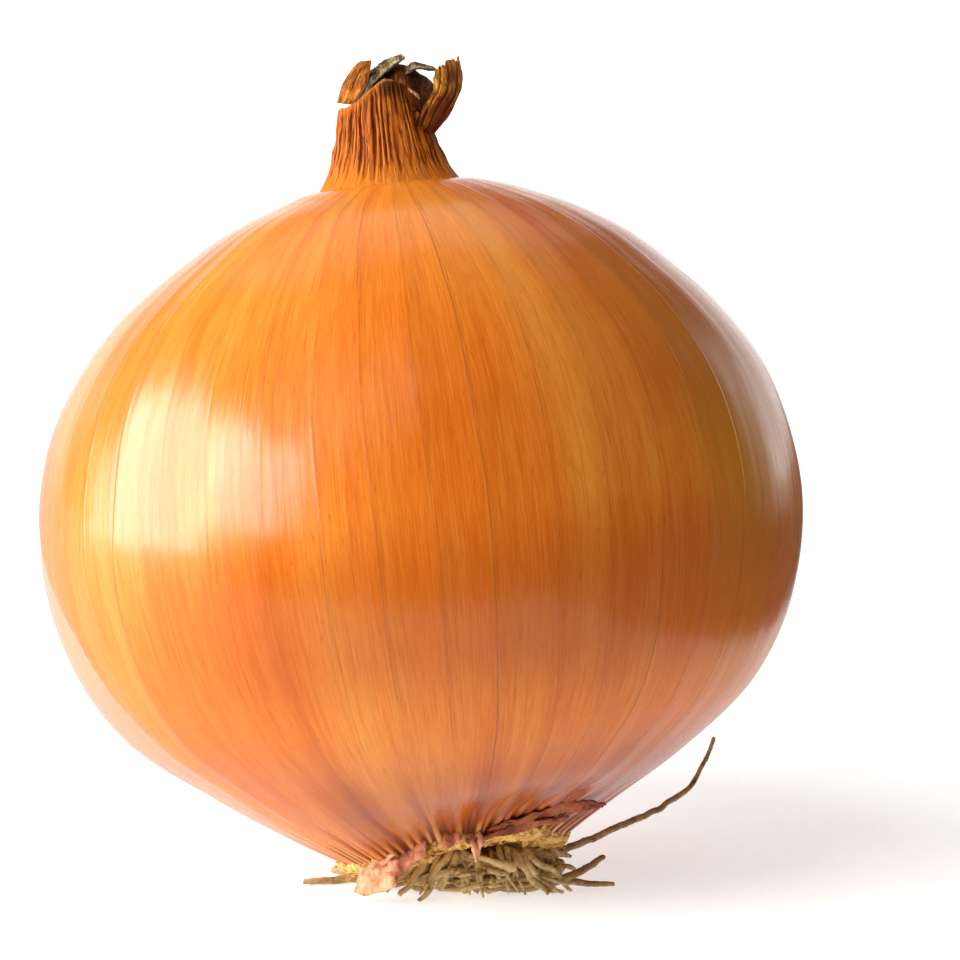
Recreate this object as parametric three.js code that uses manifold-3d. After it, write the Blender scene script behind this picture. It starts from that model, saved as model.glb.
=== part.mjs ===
// A yellow onion standing on its dry root tuft, as picked and cured.
// Millimetres, +Z up. The origin is on the resting surface, under the middle of the root plate.
// The side that faces -Y is the front. The bulb leans a little to the left and to the back.
import * as THREE from "three";
import { mergeVertices } from "three/addons/utils/BufferGeometryUtils.js";
import Module from "manifold-3d";

const wasm = await Module();
wasm.setup();

// Driving dimensions of the bulb. Its own frame has the bulb's axis as Z and the widest girth at Z = 0.
const BULB_RADIUS = 41;
const ROOT_END_Z = -36.9;
const ROOT_END_RADIUS = 11.2;
const SHOULDER_Z = 35.3;
const NECK_FOOT_RADIUS = 7.4;
const NECK_TOP_RADIUS = 4.1;
const NECK_TOP_Z = 44.6;
const NECK_SHIFT = 0.6;
const LEAN_LEFT = THREE.MathUtils.degToRad(6);
const LEAN_BACK = THREE.MathUtils.degToRad(7.5);
const ROOT_END_CENTRE = [0, -2, 3.2];
const ROOT_END_SLANT = 0.03;
const ROOT_END_NOTCH = 1.9;

// Relief on the bulb: neck pleats, puckers at the root end, and the step at the outermost skin's edge.
const SEGMENTS = 80;
const NECK_PLEATS = 20;
const NECK_PLEAT_DEPTH = 0.32;
const ROOT_PUCKERS = 20;
const ROOT_PUCKER_DEPTH = 0.35;
const ROOT_PUCKER_REACH = 13;
const SKIN_STEP = 0.25;
const BARE_STRIP = { from: 2.98, to: 3.72 };

// Root plate, root tuft and the free gap between neighbouring solids.
const GAP = 0.3;
const PLATE_RADIUS = 10.2;
const PLATE_THICKNESS = 1.0;
const FRILL_BLADES = 18;
const TUFT_FOOT_RADIUS = 8.6;
const TUFT_WAIST_RADIUS = 9.6;
const TUFT_HEIGHT = 7;
const TUFT_DEPTH = 0.88;
const FOOT_THICKNESS = 0.6;
const TUFT_ROOTS = 38;
const ROOT_THICKNESS = 0.9;
const BLADE_THICKNESS = 0.6;

const UP = new THREE.Vector3(0, 0, 1);
const { clamp, degToRad, lerp, smoothstep } = THREE.MathUtils;

// A seeded stream of numbers from 0 to 1, the same each run.
function seeded(seed) {
  let state = seed;
  return () => {
    state = (state * 1664525 + 1013904223) % 4294967296;
    return state / 4294967296;
  };
}

// Solids for joining and cutting

function toSolid(geometry) {
  const bare = geometry.index ? geometry.toNonIndexed() : geometry.clone();
  for (const name of ["normal", "uv"]) bare.deleteAttribute(name);
  const merged = mergeVertices(bare, 1e-3);
  const mesh = new wasm.Mesh({
    numProp: 3,
    vertProperties: merged.attributes.position.array,
    triVerts: new Uint32Array(merged.index.array),
  });
  return new wasm.Manifold(mesh);
}

function toGeometry(solid) {
  const mesh = solid.getMesh();
  const geometry = new THREE.BufferGeometry();
  geometry.setAttribute("position", new THREE.BufferAttribute(mesh.vertProperties, 3));
  geometry.setIndex(new THREE.BufferAttribute(mesh.triVerts, 1));
  geometry.computeVertexNormals();
  return geometry;
}

function fuse(geometries) {
  return geometries.map(toSolid).reduce((whole, piece) => whole.add(piece));
}

// The one largest body of a solid, so that no loose scrap is left after a cut.
function largestBody(solid) {
  const welded = toSolid(toGeometry(solid));
  return welded.decompose().reduce((best, body) => (body.volume() > best.volume() ? body : best));
}

// Basic shapes

// A solid of revolution round Z, from a smooth outline of [radius, height] that starts and ends on the axis.
function turned(outline, rows, segments) {
  const curve = new THREE.SplineCurve(outline.map(([r, z]) => new THREE.Vector2(r, z)));
  const points = curve.getPoints(rows);
  for (const point of points) point.x = Math.max(point.x, 0);
  points[0].x = 0;
  points[rows].x = 0;
  return new THREE.LatheGeometry(points, segments).rotateX(Math.PI / 2);
}

// Moves each vertex of a turned solid outwards from its axis by relief(angle, height, radius).
function raised(geometry, relief) {
  const position = geometry.attributes.position;
  for (let i = 0; i < position.count; i += 1) {
    const x = position.getX(i);
    const y = position.getY(i);
    const radius = Math.hypot(x, y);
    if (radius < 1e-6) continue;
    const angle = (Math.atan2(y, x) + 2 * Math.PI) % (2 * Math.PI);
    const scale = 1 + relief(angle, position.getZ(i), radius) / radius;
    position.setXY(i, x * scale, y * scale);
  }
  return geometry;
}

// A thin closed blade: a grid laid on the surface place(u, v) and thickened, both faces split alike.
function blade(place, columns, rows, thickness = BLADE_THICKNESS) {
  const sheet = new THREE.PlaneGeometry(1, 1, columns, rows);
  const middle = sheet.attributes.position;
  for (let i = 0; i < middle.count; i += 1) {
    const point = place(middle.getX(i) + 0.5, middle.getY(i) + 0.5);
    middle.setXYZ(i, point.x, point.y, point.z);
  }
  sheet.computeVertexNormals();
  const normal = sheet.attributes.normal;
  const count = middle.count;
  const corners = new Float32Array(count * 6);
  for (let i = 0; i < count; i += 1) {
    for (let axis = 0; axis < 3; axis += 1) {
      const shift = (normal.getComponent(i, axis) * thickness) / 2;
      corners[i * 3 + axis] = middle.getComponent(i, axis) + shift;
      corners[(count + i) * 3 + axis] = middle.getComponent(i, axis) - shift;
    }
  }
  const faces = [...sheet.index.array];
  for (let i = 0; i < sheet.index.count; i += 3) {
    const [a, b, c] = sheet.index.array.slice(i, i + 3);
    faces.push(count + a, count + c, count + b);
  }
  const rim = rimOf(columns, rows);
  rim.forEach((a, i) => {
    const b = rim[(i + 1) % rim.length];
    faces.push(a, b, count + a, b, count + b, count + a);
  });
  const geometry = new THREE.BufferGeometry();
  geometry.setAttribute("position", new THREE.BufferAttribute(corners, 3));
  geometry.setIndex(faces);
  return geometry;
}

// The border of a grid's vertices, walked once round clockwise as its front face is seen.
function rimOf(columns, rows) {
  const at = (column, row) => row * (columns + 1) + column;
  const rim = [];
  for (let c = 0; c < columns; c += 1) rim.push(at(c, 0));
  for (let r = 0; r < rows; r += 1) rim.push(at(columns, r));
  for (let c = columns; c > 0; c -= 1) rim.push(at(c, rows));
  for (let r = rows; r > 0; r -= 1) rim.push(at(0, r));
  return rim;
}

// A closed tapered root along a smooth line of [x, y, z] points.
function rootAlong(points, thickness, steps) {
  const sides = 5;
  const line = new THREE.CatmullRomCurve3(points.map((p) => new THREE.Vector3(...p)));
  const frames = line.computeFrenetFrames(steps);
  const geometry = new THREE.CylinderGeometry(1, 1, 1, sides, steps);
  const position = geometry.attributes.position;
  for (let i = 0; i < position.count; i += 1) {
    const along = clamp(position.getY(i) + 0.5, 0, 1);
    const step = Math.round(along * steps);
    const radius = (thickness / 2) * lerp(1, 0.45, along);
    const point = line.getPointAt(along);
    point.addScaledVector(frames.binormals[step], position.getX(i) * radius);
    point.addScaledVector(frames.normals[step], position.getZ(i) * radius);
    position.setXYZ(i, point.x, point.y, point.z);
  }
  return geometry;
}

// A point at an angle round the bulb's axis, at a radius and a height.
function polar(angle, radius, height) {
  return new THREE.Vector3(radius * Math.cos(angle), radius * Math.sin(angle), height);
}

// The bulb, with its neck

const BULB_OUTLINE = [
  [0, ROOT_END_Z],
  [ROOT_END_RADIUS, ROOT_END_Z],
  [12.6, -36.1],
  [17.8, -32.9],
  [25.3, -28.1],
  [33.7, -21.4],
  [38.9, -12.6],
  [BULB_RADIUS, -1.5],
  [39.0, 10.2],
  [34.0, 19.0],
  [27.1, 25.9],
  [19.2, 31.1],
  [11.3, 34.3],
  [8.6, SHOULDER_Z - 0.3],
  [NECK_FOOT_RADIUS, SHOULDER_Z + 0.5],
  [6.6, 37.0],
  [6.0, 38.7],
  [5.5, 40.4],
  [5.0, 42],
  [NECK_TOP_RADIUS, 43.7],
  [2.6, NECK_TOP_Z],
  [0, NECK_TOP_Z + 0.2],
];

// How far the outermost skin stands out: none on the bare strip at the left, where the skin has split.
function outerSkin(angle, z) {
  const strip = smoothstep(angle, BARE_STRIP.from, BARE_STRIP.from + 0.07);
  const end = 1 - smoothstep(angle, BARE_STRIP.to - 0.07, BARE_STRIP.to);
  const below = 1 - smoothstep(z, 24, 32);
  return SKIN_STEP * (1 - strip * end) * below;
}

function bulbRelief(angle, z, radius) {
  const onNeck = smoothstep(z, SHOULDER_Z - 0.2, SHOULDER_Z + 2) * smoothstep(radius, 1, 3);
  const wander = 0.9 * Math.sin(0.8 * z + 2 * Math.sin(2 * angle));
  const pleats = NECK_PLEAT_DEPTH * onNeck * Math.cos(NECK_PLEATS * angle + wander);
  const nearRoots = 1 - smoothstep(z, ROOT_END_Z + 1, ROOT_END_Z + ROOT_PUCKER_REACH);
  const offFloor = smoothstep(radius, ROOT_END_RADIUS - 2, ROOT_END_RADIUS);
  const puckers = ROOT_PUCKER_DEPTH * nearRoots * offFloor * Math.cos(ROOT_PUCKERS * angle);
  const fullShoulder = 0.7 * Math.cos(angle) * smoothstep(z, 23, 29) * (1 - smoothstep(z, 33.5, 35.2));
  return pleats + puckers + fullShoulder + outerSkin(angle, z) - SKIN_STEP;
}

// What breaks the round shape. The neck stands a little to the right of the bulb's axis. The root end
// is slanted, lower at the left, and its skin is torn off higher at the front right. The plate's
// underside keeps out of that tear.
function uneven(geometry) {
  const position = geometry.attributes.position;
  for (let i = 0; i < position.count; i += 1) {
    const [x, y, z] = [position.getX(i), position.getY(i), position.getZ(i)];
    const degrees = (THREE.MathUtils.radToDeg(Math.atan2(y, x)) + 360) % 360;
    const across = smoothstep(degrees, 232, 272) * (1 - smoothstep(degrees, 305, 350));
    const torn = across * Math.min(Math.hypot(x, y) / ROOT_END_RADIUS, 1);
    const low = 1 - smoothstep(z, ROOT_END_Z + 1, ROOT_END_Z + 10);
    const high = smoothstep(z, ROOT_END_Z - 1.6, ROOT_END_Z - GAP);
    position.setX(i, x + NECK_SHIFT * smoothstep(z, SHOULDER_Z - 3, SHOULDER_Z));
    position.setZ(i, z + low * (ROOT_END_SLANT * x + ROOT_END_NOTCH * torn * high));
  }
  return geometry;
}

function bulbGeometry() {
  return uneven(raised(turned(BULB_OUTLINE, 42, SEGMENTS), bulbRelief));
}

// Dry leaf ends at the neck. Angles: 0 is right, 90 is back, 180 is left, 270 is front.

function leafLeft(thickness) {
  const height = (u) => lerp(2.8, 5.6, smoothstep(u, 0, 0.55));
  const place = (u, v) => {
    const angle = degToRad(lerp(203, 261, u));
    const radius = NECK_TOP_RADIUS + 1.1 - v * (0.1 + 1.25 * u) + 0.1 * Math.sin(9 * u);
    return polar(angle, radius, 42.9 + v * height(u) + 0.4 * (1 - u) * (1 - v));
  };
  return uneven(blade(place, 6, 5, thickness));
}

function leafRight(thickness) {
  const reach = new THREE.SplineCurve([
    new THREE.Vector2(5.95, 40.6),
    new THREE.Vector2(7.4, 42.4),
    new THREE.Vector2(8.5, 44.6),
    new THREE.Vector2(8.7, 48.8),
  ]);
  const place = (u, v) => {
    const spot = reach.getPoint(v);
    const narrow = smoothstep(v, 0.55, 0.8);
    const front = degToRad(lerp(lerp(-32, -50, Math.min(v * 2, 1)), -24, narrow));
    const back = degToRad(lerp(22, 6, narrow));
    return polar(lerp(front, back, u), spot.x + 0.15 * Math.sin(14 * u), spot.y);
  };
  return uneven(blade(place, 7, 10, thickness));
}

// The inner leaf, bent over the neck's top like a cap, with two torn strips that curl up from it.
function leafCap() {
  const cap = (u, v) => {
    const x = lerp(-3.3, 6.0, u);
    const arch = 44.4 + 1.7 * Math.sin(Math.PI * lerp(0.12, 0.97, u));
    const y = lerp(-4.75, -0.4, v) + 0.35 * Math.cos(7 * u) * v;
    return new THREE.Vector3(x, y, arch + 0.9 * Math.sin(v * 1.7) + 0.25 * Math.sin(11 * u) * v);
  };
  const strip = (from, to, width) => (u, v) => {
    const point = new THREE.Vector3(...from).lerp(new THREE.Vector3(...to), v);
    point.y += width * (u - 0.5);
    point.z += 0.9 * Math.sin(v * 2.6) + 0.35 * (u - 0.5);
    return point;
  };
  const curlLeft = strip([-0.9, -1.6, 46.3], [3.1, -1.9, 48], 1.5);
  const curlRight = strip([2.6, -1.4, 46.1], [5.6, -1.9, 46.9], 1.3);
  const pieces = [blade(cap, 9, 4), blade(curlLeft, 2, 5), blade(curlRight, 2, 4)];
  const room = BLADE_THICKNESS + 2 * GAP;
  return largestBody(fuse(pieces.map(uneven)).subtract(fuse([leafLeft(room), leafRight(room)])));
}

// The root end: plate with its corky frill, torn skin and roots

// A point on the cone between the root end and the girth, lifted off the skin.
function onRootCone(angle, along, lift) {
  const direction = { r: 0.85, z: 0.527 };
  const radius = ROOT_END_RADIUS + 1.2 + along * direction.r + lift * direction.z;
  const height = ROOT_END_Z + 0.5 + along * direction.z - lift * direction.r;
  return polar(angle, radius, height);
}

// The room that the bulb's root end takes up with the free gap round it, for cutting its neighbours.
function rootEndRoom() {
  const clearance = GAP + SKIN_STEP + ROOT_PUCKER_DEPTH;
  const outline = [
    [0, ROOT_END_Z - GAP],
    [ROOT_END_RADIUS + clearance, ROOT_END_Z - GAP],
    [13.6 + clearance, -35.7],
    [19.2 + clearance, -32.2],
    [25.8 + clearance, -28],
    [0, -28],
  ];
  const points = outline.map(([r, z]) => new THREE.Vector2(r, z));
  return toSolid(uneven(new THREE.LatheGeometry(points, 32).rotateX(Math.PI / 2)));
}

// Everything below a height above the resting surface.
function floorRoom(height) {
  const half = 60;
  return toSolid(new THREE.BoxGeometry(2 * half, 2 * half, half).translate(0, 0, height - half / 2));
}

function rootPlate(leaned) {
  const top = ROOT_END_Z - GAP - 0.15;
  const bottom = top - PLATE_THICKNESS;
  const outline = [
    [0, bottom],
    [PLATE_RADIUS - 2.4, bottom],
    [PLATE_RADIUS, bottom + 0.4],
    [PLATE_RADIUS + 0.4, top - 0.3],
    [PLATE_RADIUS - 1.2, top],
    [0, top],
  ];
  const bumps = (angle) => 0.35 * Math.sin(9 * angle) + 0.25 * Math.sin(17 * angle + 1);
  const plate = toSolid(uneven(raised(turned(outline, 7, 30), bumps)));
  const draw = seeded(11);
  const frill = [];
  for (let i = 0; i < FRILL_BLADES; i += 1) {
    const angle = (i + 0.6 * draw()) * ((2 * Math.PI) / FRILL_BLADES);
    frill.push(uneven(frillBlade(angle, 1.6 + 1.3 * draw(), 0.1 + 0.06 * draw(), top)));
  }
  const floor = floorRoom(FOOT_THICKNESS + GAP).transform(leaned.matrix.clone().invert().elements);
  const whole = fuse(frill).subtract(rootEndRoom()).add(plate);
  return largestBody(whole.subtract(tornSkinRoom()).subtract(floor));
}

// One torn, curled end of an old scale, sunk in the plate's rim and standing out of it.
function frillBlade(angle, length, halfAngle, top) {
  const place = (u, v) => {
    const radius = PLATE_RADIUS - 1.4 + length * v;
    const curl = 0.5 * Math.sin(Math.PI * u) + 0.8 * v * v;
    return polar(angle + halfAngle * (2 * u - 1), radius, top - 0.5 + curl);
  };
  return blade(place, 2, 2);
}

// A strip of torn skin at the front right, curling away from the bulb.
function skinTongue(thickness) {
  const place = (u, v) => {
    const angle = degToRad(lerp(-44, -8, v) + 9 * (u - 0.5));
    const lift = 1.3 + 1.2 * v + 0.3 * Math.sin(8 * u + 3 * v);
    return onRootCone(angle, lerp(0.4, 5.2, v) + 2.6 * (u - 0.5), lift);
  };
  return blade(place, 4, 8, thickness);
}

// A scrap of torn skin that hangs from the root end, outside the plate and the tuft.
function hangingScrap({ angle, width, drop, spread }, thickness) {
  const place = (u, v) => {
    const turn = degToRad(angle + width * (u - 0.5));
    const radius = PLATE_RADIUS + 2.3 + spread * (1 - v) + 0.35 * Math.sin(9 * u);
    return polar(turn, radius, ROOT_END_Z + 0.7 - drop * (1 - v) - 0.3 * Math.sin(5 * u));
  };
  return blade(place, 5, 4, thickness);
}

const FRONT_SCRAP = { angle: 229, width: 24, drop: 2.9, spread: 0.9 };
const MIDDLE_SCRAP = { angle: 252, width: 16, drop: 2.8, spread: 0.4 };

// All the torn skin at the root end, each piece as its name and a function of its thickness.
const TORN_SKIN = {
  skin_tongue: (thickness) => uneven(skinTongue(thickness)),
  skin_scrap_front: (thickness) => uneven(hangingScrap(FRONT_SCRAP, thickness)),
  skin_scrap_middle: (thickness) => uneven(hangingScrap(MIDDLE_SCRAP, thickness)),
};

// The room that the torn skin takes up with the free gap round it.
function tornSkinRoom() {
  return fuse(Object.values(TORN_SKIN).map((shape) => shape(BLADE_THICKNESS + 2 * GAP)));
}

// Roots are laid out in the part's own frame, where the surface that they rest on is Z = 0.
const LONG_ROOT = [
  [6, 3, 1.2],
  [11.5, 8.5, 1.4],
  [18.5, 20, 1.9],
  [23.5, 29, 2.3],
  [26.8, 33, 5.0],
  [28.2, 35, 9.4],
];
const LEFT_ROOT = [
  [-4, 0, 0.7],
  [-9.5, -1.5, 0.6],
  [-13, -2.8, 0.5],
  [-16.2, -2.4, 0.2],
];
const RIGHT_ROOT = [
  [1.5, -6, 1.4],
  [6, -8.4, 0.9],
  [11.5, -5.4, 1.3],
  [16, -1, 2.6],
];
const RIGHT_STUB = [
  [7, -2, 1.0],
  [12, -3.6, 0.6],
  [17, -4.2, 0.15],
];
const BACK_LEFT_ROOT = [
  [-4, 4, 0.3],
  [-10.5, 9.5, 0.3],
  [-15, 15.5, 0.2],
];
const BACK_ROOT = [
  [0, 5, 0.3],
  [1.5, 12, 0.3],
  [-1, 18.5, 0.2],
];

// Roots that leave the core all round at different heights, then curl along its side.
function tuftRoots() {
  const draw = seeded(7);
  const goldenAngle = Math.PI * (3 - Math.sqrt(5));
  const roots = [];
  for (let i = 0; i < TUFT_ROOTS; i += 1) {
    const angle = i * goldenAngle;
    const bend = 0.9 * (draw() - 0.5);
    const reach = 10.3 + 2.2 * draw();
    const height = 0.7 + 2.6 * draw();
    const line = [
      polar(angle, 6, height + 0.4),
      polar(angle + 0.4 * bend, TUFT_WAIST_RADIUS + 0.2, height + 0.2),
      polar(angle + bend, reach, height * (0.3 + 0.5 * draw())),
      polar(angle + 1.9 * bend, reach - 1.2 * draw(), 0.35 + 0.5 * height * draw()),
    ];
    const squeezed = line.map((point) => [point.x, point.y * TUFT_DEPTH, point.z]);
    roots.push(rootAlong(squeezed, ROOT_THICKNESS, 5));
  }
  return roots;
}

function tuftCore() {
  const outline = [
    [0, 0],
    [TUFT_FOOT_RADIUS, 0],
    [TUFT_WAIST_RADIUS, 1.1],
    [TUFT_WAIST_RADIUS - 0.3, 3.2],
    [TUFT_WAIST_RADIUS - 0.8, TUFT_HEIGHT],
    [0, TUFT_HEIGHT],
  ];
  const lumps = (angle) => 0.3 * Math.sin(11 * angle) + 0.25 * Math.sin(6 * angle + 2);
  return raised(turned(outline, 12, 30), lumps).scale(1, TUFT_DEPTH, 1);
}

// What stands above the root plate's underside, in the bulb's frame, within the root end's width.
function plateRoom() {
  const bottom = ROOT_END_Z - 2 * GAP - 0.15 - PLATE_THICKNESS;
  const column = new THREE.CylinderGeometry(1, 1, TUFT_HEIGHT, 24).rotateX(Math.PI / 2);
  column.scale(ROOT_END_RADIUS + 1.8, ROOT_END_RADIUS + 1.8, 1);
  return toSolid(uneven(column.translate(0, 0, bottom + TUFT_HEIGHT / 2)));
}

function rootTuft(leaned) {
  const singles = [
    rootAlong(LONG_ROOT, 1.0, 12),
    rootAlong(LEFT_ROOT, 1.1, 6),
    rootAlong(RIGHT_ROOT, 1.2, 7),
    rootAlong(RIGHT_STUB, 0.9, 4),
    rootAlong(BACK_LEFT_ROOT, 1.0, 5),
    rootAlong(BACK_ROOT, 1.0, 5),
  ];
  const above = plateRoom().add(rootEndRoom()).add(tornSkinRoom());
  const taken = above.transform(leaned.matrix.elements).subtract(floorRoom(FOOT_THICKNESS));
  const whole = fuse([tuftCore(), ...tuftRoots(), ...singles]);
  return largestBody(whole.subtract(taken).subtract(floorRoom(0)));
}

// Materials

function dry(colour, roughness) {
  return new THREE.MeshStandardMaterial({ color: colour, roughness, metalness: 0 });
}

const BULB_SKIN = dry("#d67a2c", 0.35);
const NECK_LEAF = dry("#b5682a", 0.6);
const CORK = dry("#a8772f", 0.85);
const SCRAP = dry("#d08a5c", 0.6);
const ROOT = dry("#7d6637", 0.85);

// Assembly

function named(name, shape, material) {
  const geometry = shape.isBufferGeometry ? shape : toGeometry(shape);
  const mesh = new THREE.Mesh(geometry, material);
  mesh.name = name;
  return mesh;
}

// The bulb's own frame, leaned and set down by the middle of its root end.
function leanedFrame() {
  const frame = new THREE.Group();
  frame.rotation.set(-LEAN_BACK, -LEAN_LEFT, 0);
  const rootEnd = UP.clone().multiplyScalar(ROOT_END_Z).applyEuler(frame.rotation);
  frame.position.set(...ROOT_END_CENTRE).sub(rootEnd);
  frame.updateMatrix();
  return frame;
}

const leaned = leanedFrame();
leaned.add(named("bulb", bulbGeometry(), BULB_SKIN));
leaned.add(named("neck_leaf_left", leafLeft(BLADE_THICKNESS), NECK_LEAF));
leaned.add(named("neck_leaf_cap", leafCap(), NECK_LEAF));
leaned.add(named("neck_leaf_right", leafRight(BLADE_THICKNESS), NECK_LEAF));
leaned.add(named("root_plate", rootPlate(leaned), CORK));
for (const [name, shape] of Object.entries(TORN_SKIN)) {
  const cleared = toSolid(shape(BLADE_THICKNESS)).subtract(rootEndRoom());
  leaned.add(named(name, largestBody(cleared), SCRAP));
}

const onion = new THREE.Group();
onion.add(leaned);
onion.add(named("roots", rootTuft(leaned), ROOT));

export default onion;
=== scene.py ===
"""A yellow onion on its dry root tuft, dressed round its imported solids."""
import logging
import math
from collections.abc import Callable, Sequence
from dataclasses import dataclass
from enum import Enum

import bpy
import numpy as np
from mathutils import Matrix, Vector, noise


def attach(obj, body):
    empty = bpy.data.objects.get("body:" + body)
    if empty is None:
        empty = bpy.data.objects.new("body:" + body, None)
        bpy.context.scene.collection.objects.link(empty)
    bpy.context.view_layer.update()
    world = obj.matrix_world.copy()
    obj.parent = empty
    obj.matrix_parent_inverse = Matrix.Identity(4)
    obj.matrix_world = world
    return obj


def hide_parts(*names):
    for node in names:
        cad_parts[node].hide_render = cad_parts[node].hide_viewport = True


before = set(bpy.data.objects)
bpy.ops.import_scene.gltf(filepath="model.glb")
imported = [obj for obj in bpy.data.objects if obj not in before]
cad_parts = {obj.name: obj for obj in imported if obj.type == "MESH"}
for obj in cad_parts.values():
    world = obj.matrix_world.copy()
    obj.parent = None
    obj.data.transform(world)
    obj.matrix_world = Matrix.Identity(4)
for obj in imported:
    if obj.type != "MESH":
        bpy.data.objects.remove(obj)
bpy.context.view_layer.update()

MM = 0.001
TURN = 2 * math.pi

Array = np.ndarray
Point = tuple[float, float, float]
Colour = tuple[float, float, float]


# Numbers


def smoothstep(value: Array, low: float, high: float) -> Array:
    """A smooth rise from 0 at low to 1 at high."""
    share = np.clip((np.asarray(value, float) - low) / (high - low), 0, 1)
    return share * share * (3 - 2 * share)


def lerp(start: Array, end: Array, share: Array) -> Array:
    """The value a share of the way from start to end."""
    return start + (end - start) * share


def lumps(points: Array, scale: float, seed: int, detail: int = 0) -> Array:
    """Smooth noise from about -1 to 1.

    Args:
        points: Places, three numbers each, in millimetres.
        scale: Waves a millimetre.
        seed: Which of the noise fields to use.
        detail: Finer layers that are added, each at half the size and strength.

    Returns:
        One number for each place.
    """
    shift = np.array([17.3, -9.1, 5.7]) * (seed + 1)
    total = np.zeros(len(points))
    for layer in range(detail + 1):
        fine = 2**layer
        places = (points * scale * fine + shift * fine).tolist()
        total += np.array([noise.noise(place) for place in places]) / fine
    return total


def smooth_line(points: Sequence[Sequence[float]], count: int) -> Array:
    """A smooth line through points, the same spline that the solids follow.

    Args:
        points: The points that the line passes through.
        count: How many steps the line is cut into.

    Returns:
        count + 1 points at even steps of the line's parameter.
    """
    rows = np.array(points, float)
    last = len(rows) - 1
    along = np.linspace(0, last, count + 1)
    cell = np.minimum(along.astype(int), last - 1)
    share = (along - cell)[:, None]
    before, start = rows[np.maximum(cell - 1, 0)], rows[cell]
    end, after = rows[cell + 1], rows[np.minimum(cell + 2, last)]
    pull, push = (end - before) / 2, (after - start) / 2
    cubic = 2 * (start - end) + pull + push
    square = 3 * (end - start) - 2 * pull - push
    return ((cubic * share + square) * share + pull) * share + start


# Node trees


class Wire:
    """A node's output that takes part in sums, each of which adds a Math node."""

    def __init__(self, web: "Web", socket: bpy.types.NodeSocket) -> None:
        """Keeps the tree and the output."""
        self.web = web
        self.socket = socket

    def __add__(self, other: "Wire | float") -> "Wire":
        """self + other"""
        return self.web.math("ADD", self, other)

    def __sub__(self, other: "Wire | float") -> "Wire":
        """self - other"""
        return self.web.math("SUBTRACT", self, other)

    def __rsub__(self, other: "Wire | float") -> "Wire":
        """other - self"""
        return self.web.math("SUBTRACT", other, self)

    def __mul__(self, other: "Wire | float") -> "Wire":
        """self * other"""
        return self.web.math("MULTIPLY", self, other)

    def __pow__(self, other: "Wire | float") -> "Wire":
        """self to the power of other"""
        return self.web.math("POWER", self, other)

    def __abs__(self) -> "Wire":
        """The size of self, without its sign."""
        return self.web.math("ABSOLUTE", self)

    __radd__ = __add__
    __rmul__ = __mul__

    def output(self, key: int | str) -> "Wire":
        """Another output of the same node."""
        return Wire(self.web, self.socket.node.outputs[key])


class Web:
    """A node tree that grows one node at a time."""

    def __init__(self, tree: bpy.types.NodeTree) -> None:
        """Empties the tree."""
        self.tree = tree
        tree.nodes.clear()

    def add(self, kind: str, settings: dict | None = None, values: dict | None = None) -> Wire:
        """Adds a node.

        Args:
            kind: The node's type.
            settings: Its settings by name.
            values: Its sockets' values or wires, by name or number.

        Returns:
            Its first output, or its first input where it has no output.
        """
        node = self.tree.nodes.new(kind)
        for name, value in (settings or {}).items():
            setattr(node, name, value)
        for key, value in (values or {}).items():
            if isinstance(value, Wire):
                self.tree.links.new(value.socket, node.inputs[key])
            else:
                node.inputs[key].default_value = value
        return Wire(self, node.outputs[0] if node.outputs else node.inputs[0])

    def math(self, operation: str, *values: "Wire | float") -> Wire:
        """One Math node on numbers."""
        return self.add("ShaderNodeMath", {"operation": operation}, dict(enumerate(values)))

    def vector(self, operation: str, *values: "Wire | Point") -> Wire:
        """One Vector Math node."""
        return self.add("ShaderNodeVectorMath", {"operation": operation}, dict(enumerate(values)))

    def smooth(self, value: Wire, low: float, high: float, start: float = 0, end: float = 1) -> Wire:
        """A smooth change from start at low to end at high."""
        values = {"Value": value, "From Min": low, "From Max": high, "To Min": start, "To Max": end}
        return self.add("ShaderNodeMapRange", {"interpolation_type": "SMOOTHSTEP"}, values)

    def mix(self, share: "Wire | float", start: "Wire | Colour", end: "Wire | Colour") -> Wire:
        """A mix of two colours.

        Args:
            share: How much of end.
            start: The first colour.
            end: The second colour.

        Returns:
            The mixed colour.
        """
        paints = [c if isinstance(c, Wire) else (*c, 1) for c in (start, end)]
        settings = {"data_type": "RGBA", "clamp_factor": True}
        return self.add("ShaderNodeMix", settings, {0: share, 6: paints[0], 7: paints[1]}).output(2)

    def noise(self, place: Wire, scale: "Wire | float", detail: float = 2, roughness: float = 0.5) -> Wire:
        """Smooth noise from 0 to 1, about 0.5 on average."""
        values = {"Vector": place, "Scale": scale, "Detail": detail, "Roughness": roughness}
        return self.add("ShaderNodeTexNoise", None, values)

    def grain(self, place: Wire, stretch: Point, detail: float, roughness: float = 0.5,
              scale: "Wire | float" = 1.0) -> Wire:
        """Noise stretched along a piece."""
        return self.noise(self.vector("MULTIPLY", place, stretch), scale, detail, roughness)

    def mark(self, name: str, output: str = "Vector") -> Wire:
        """Reads an attribute of the surface in a material."""
        return self.add("ShaderNodeAttribute", {"attribute_name": name}).output(output)


# Meshes


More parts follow.
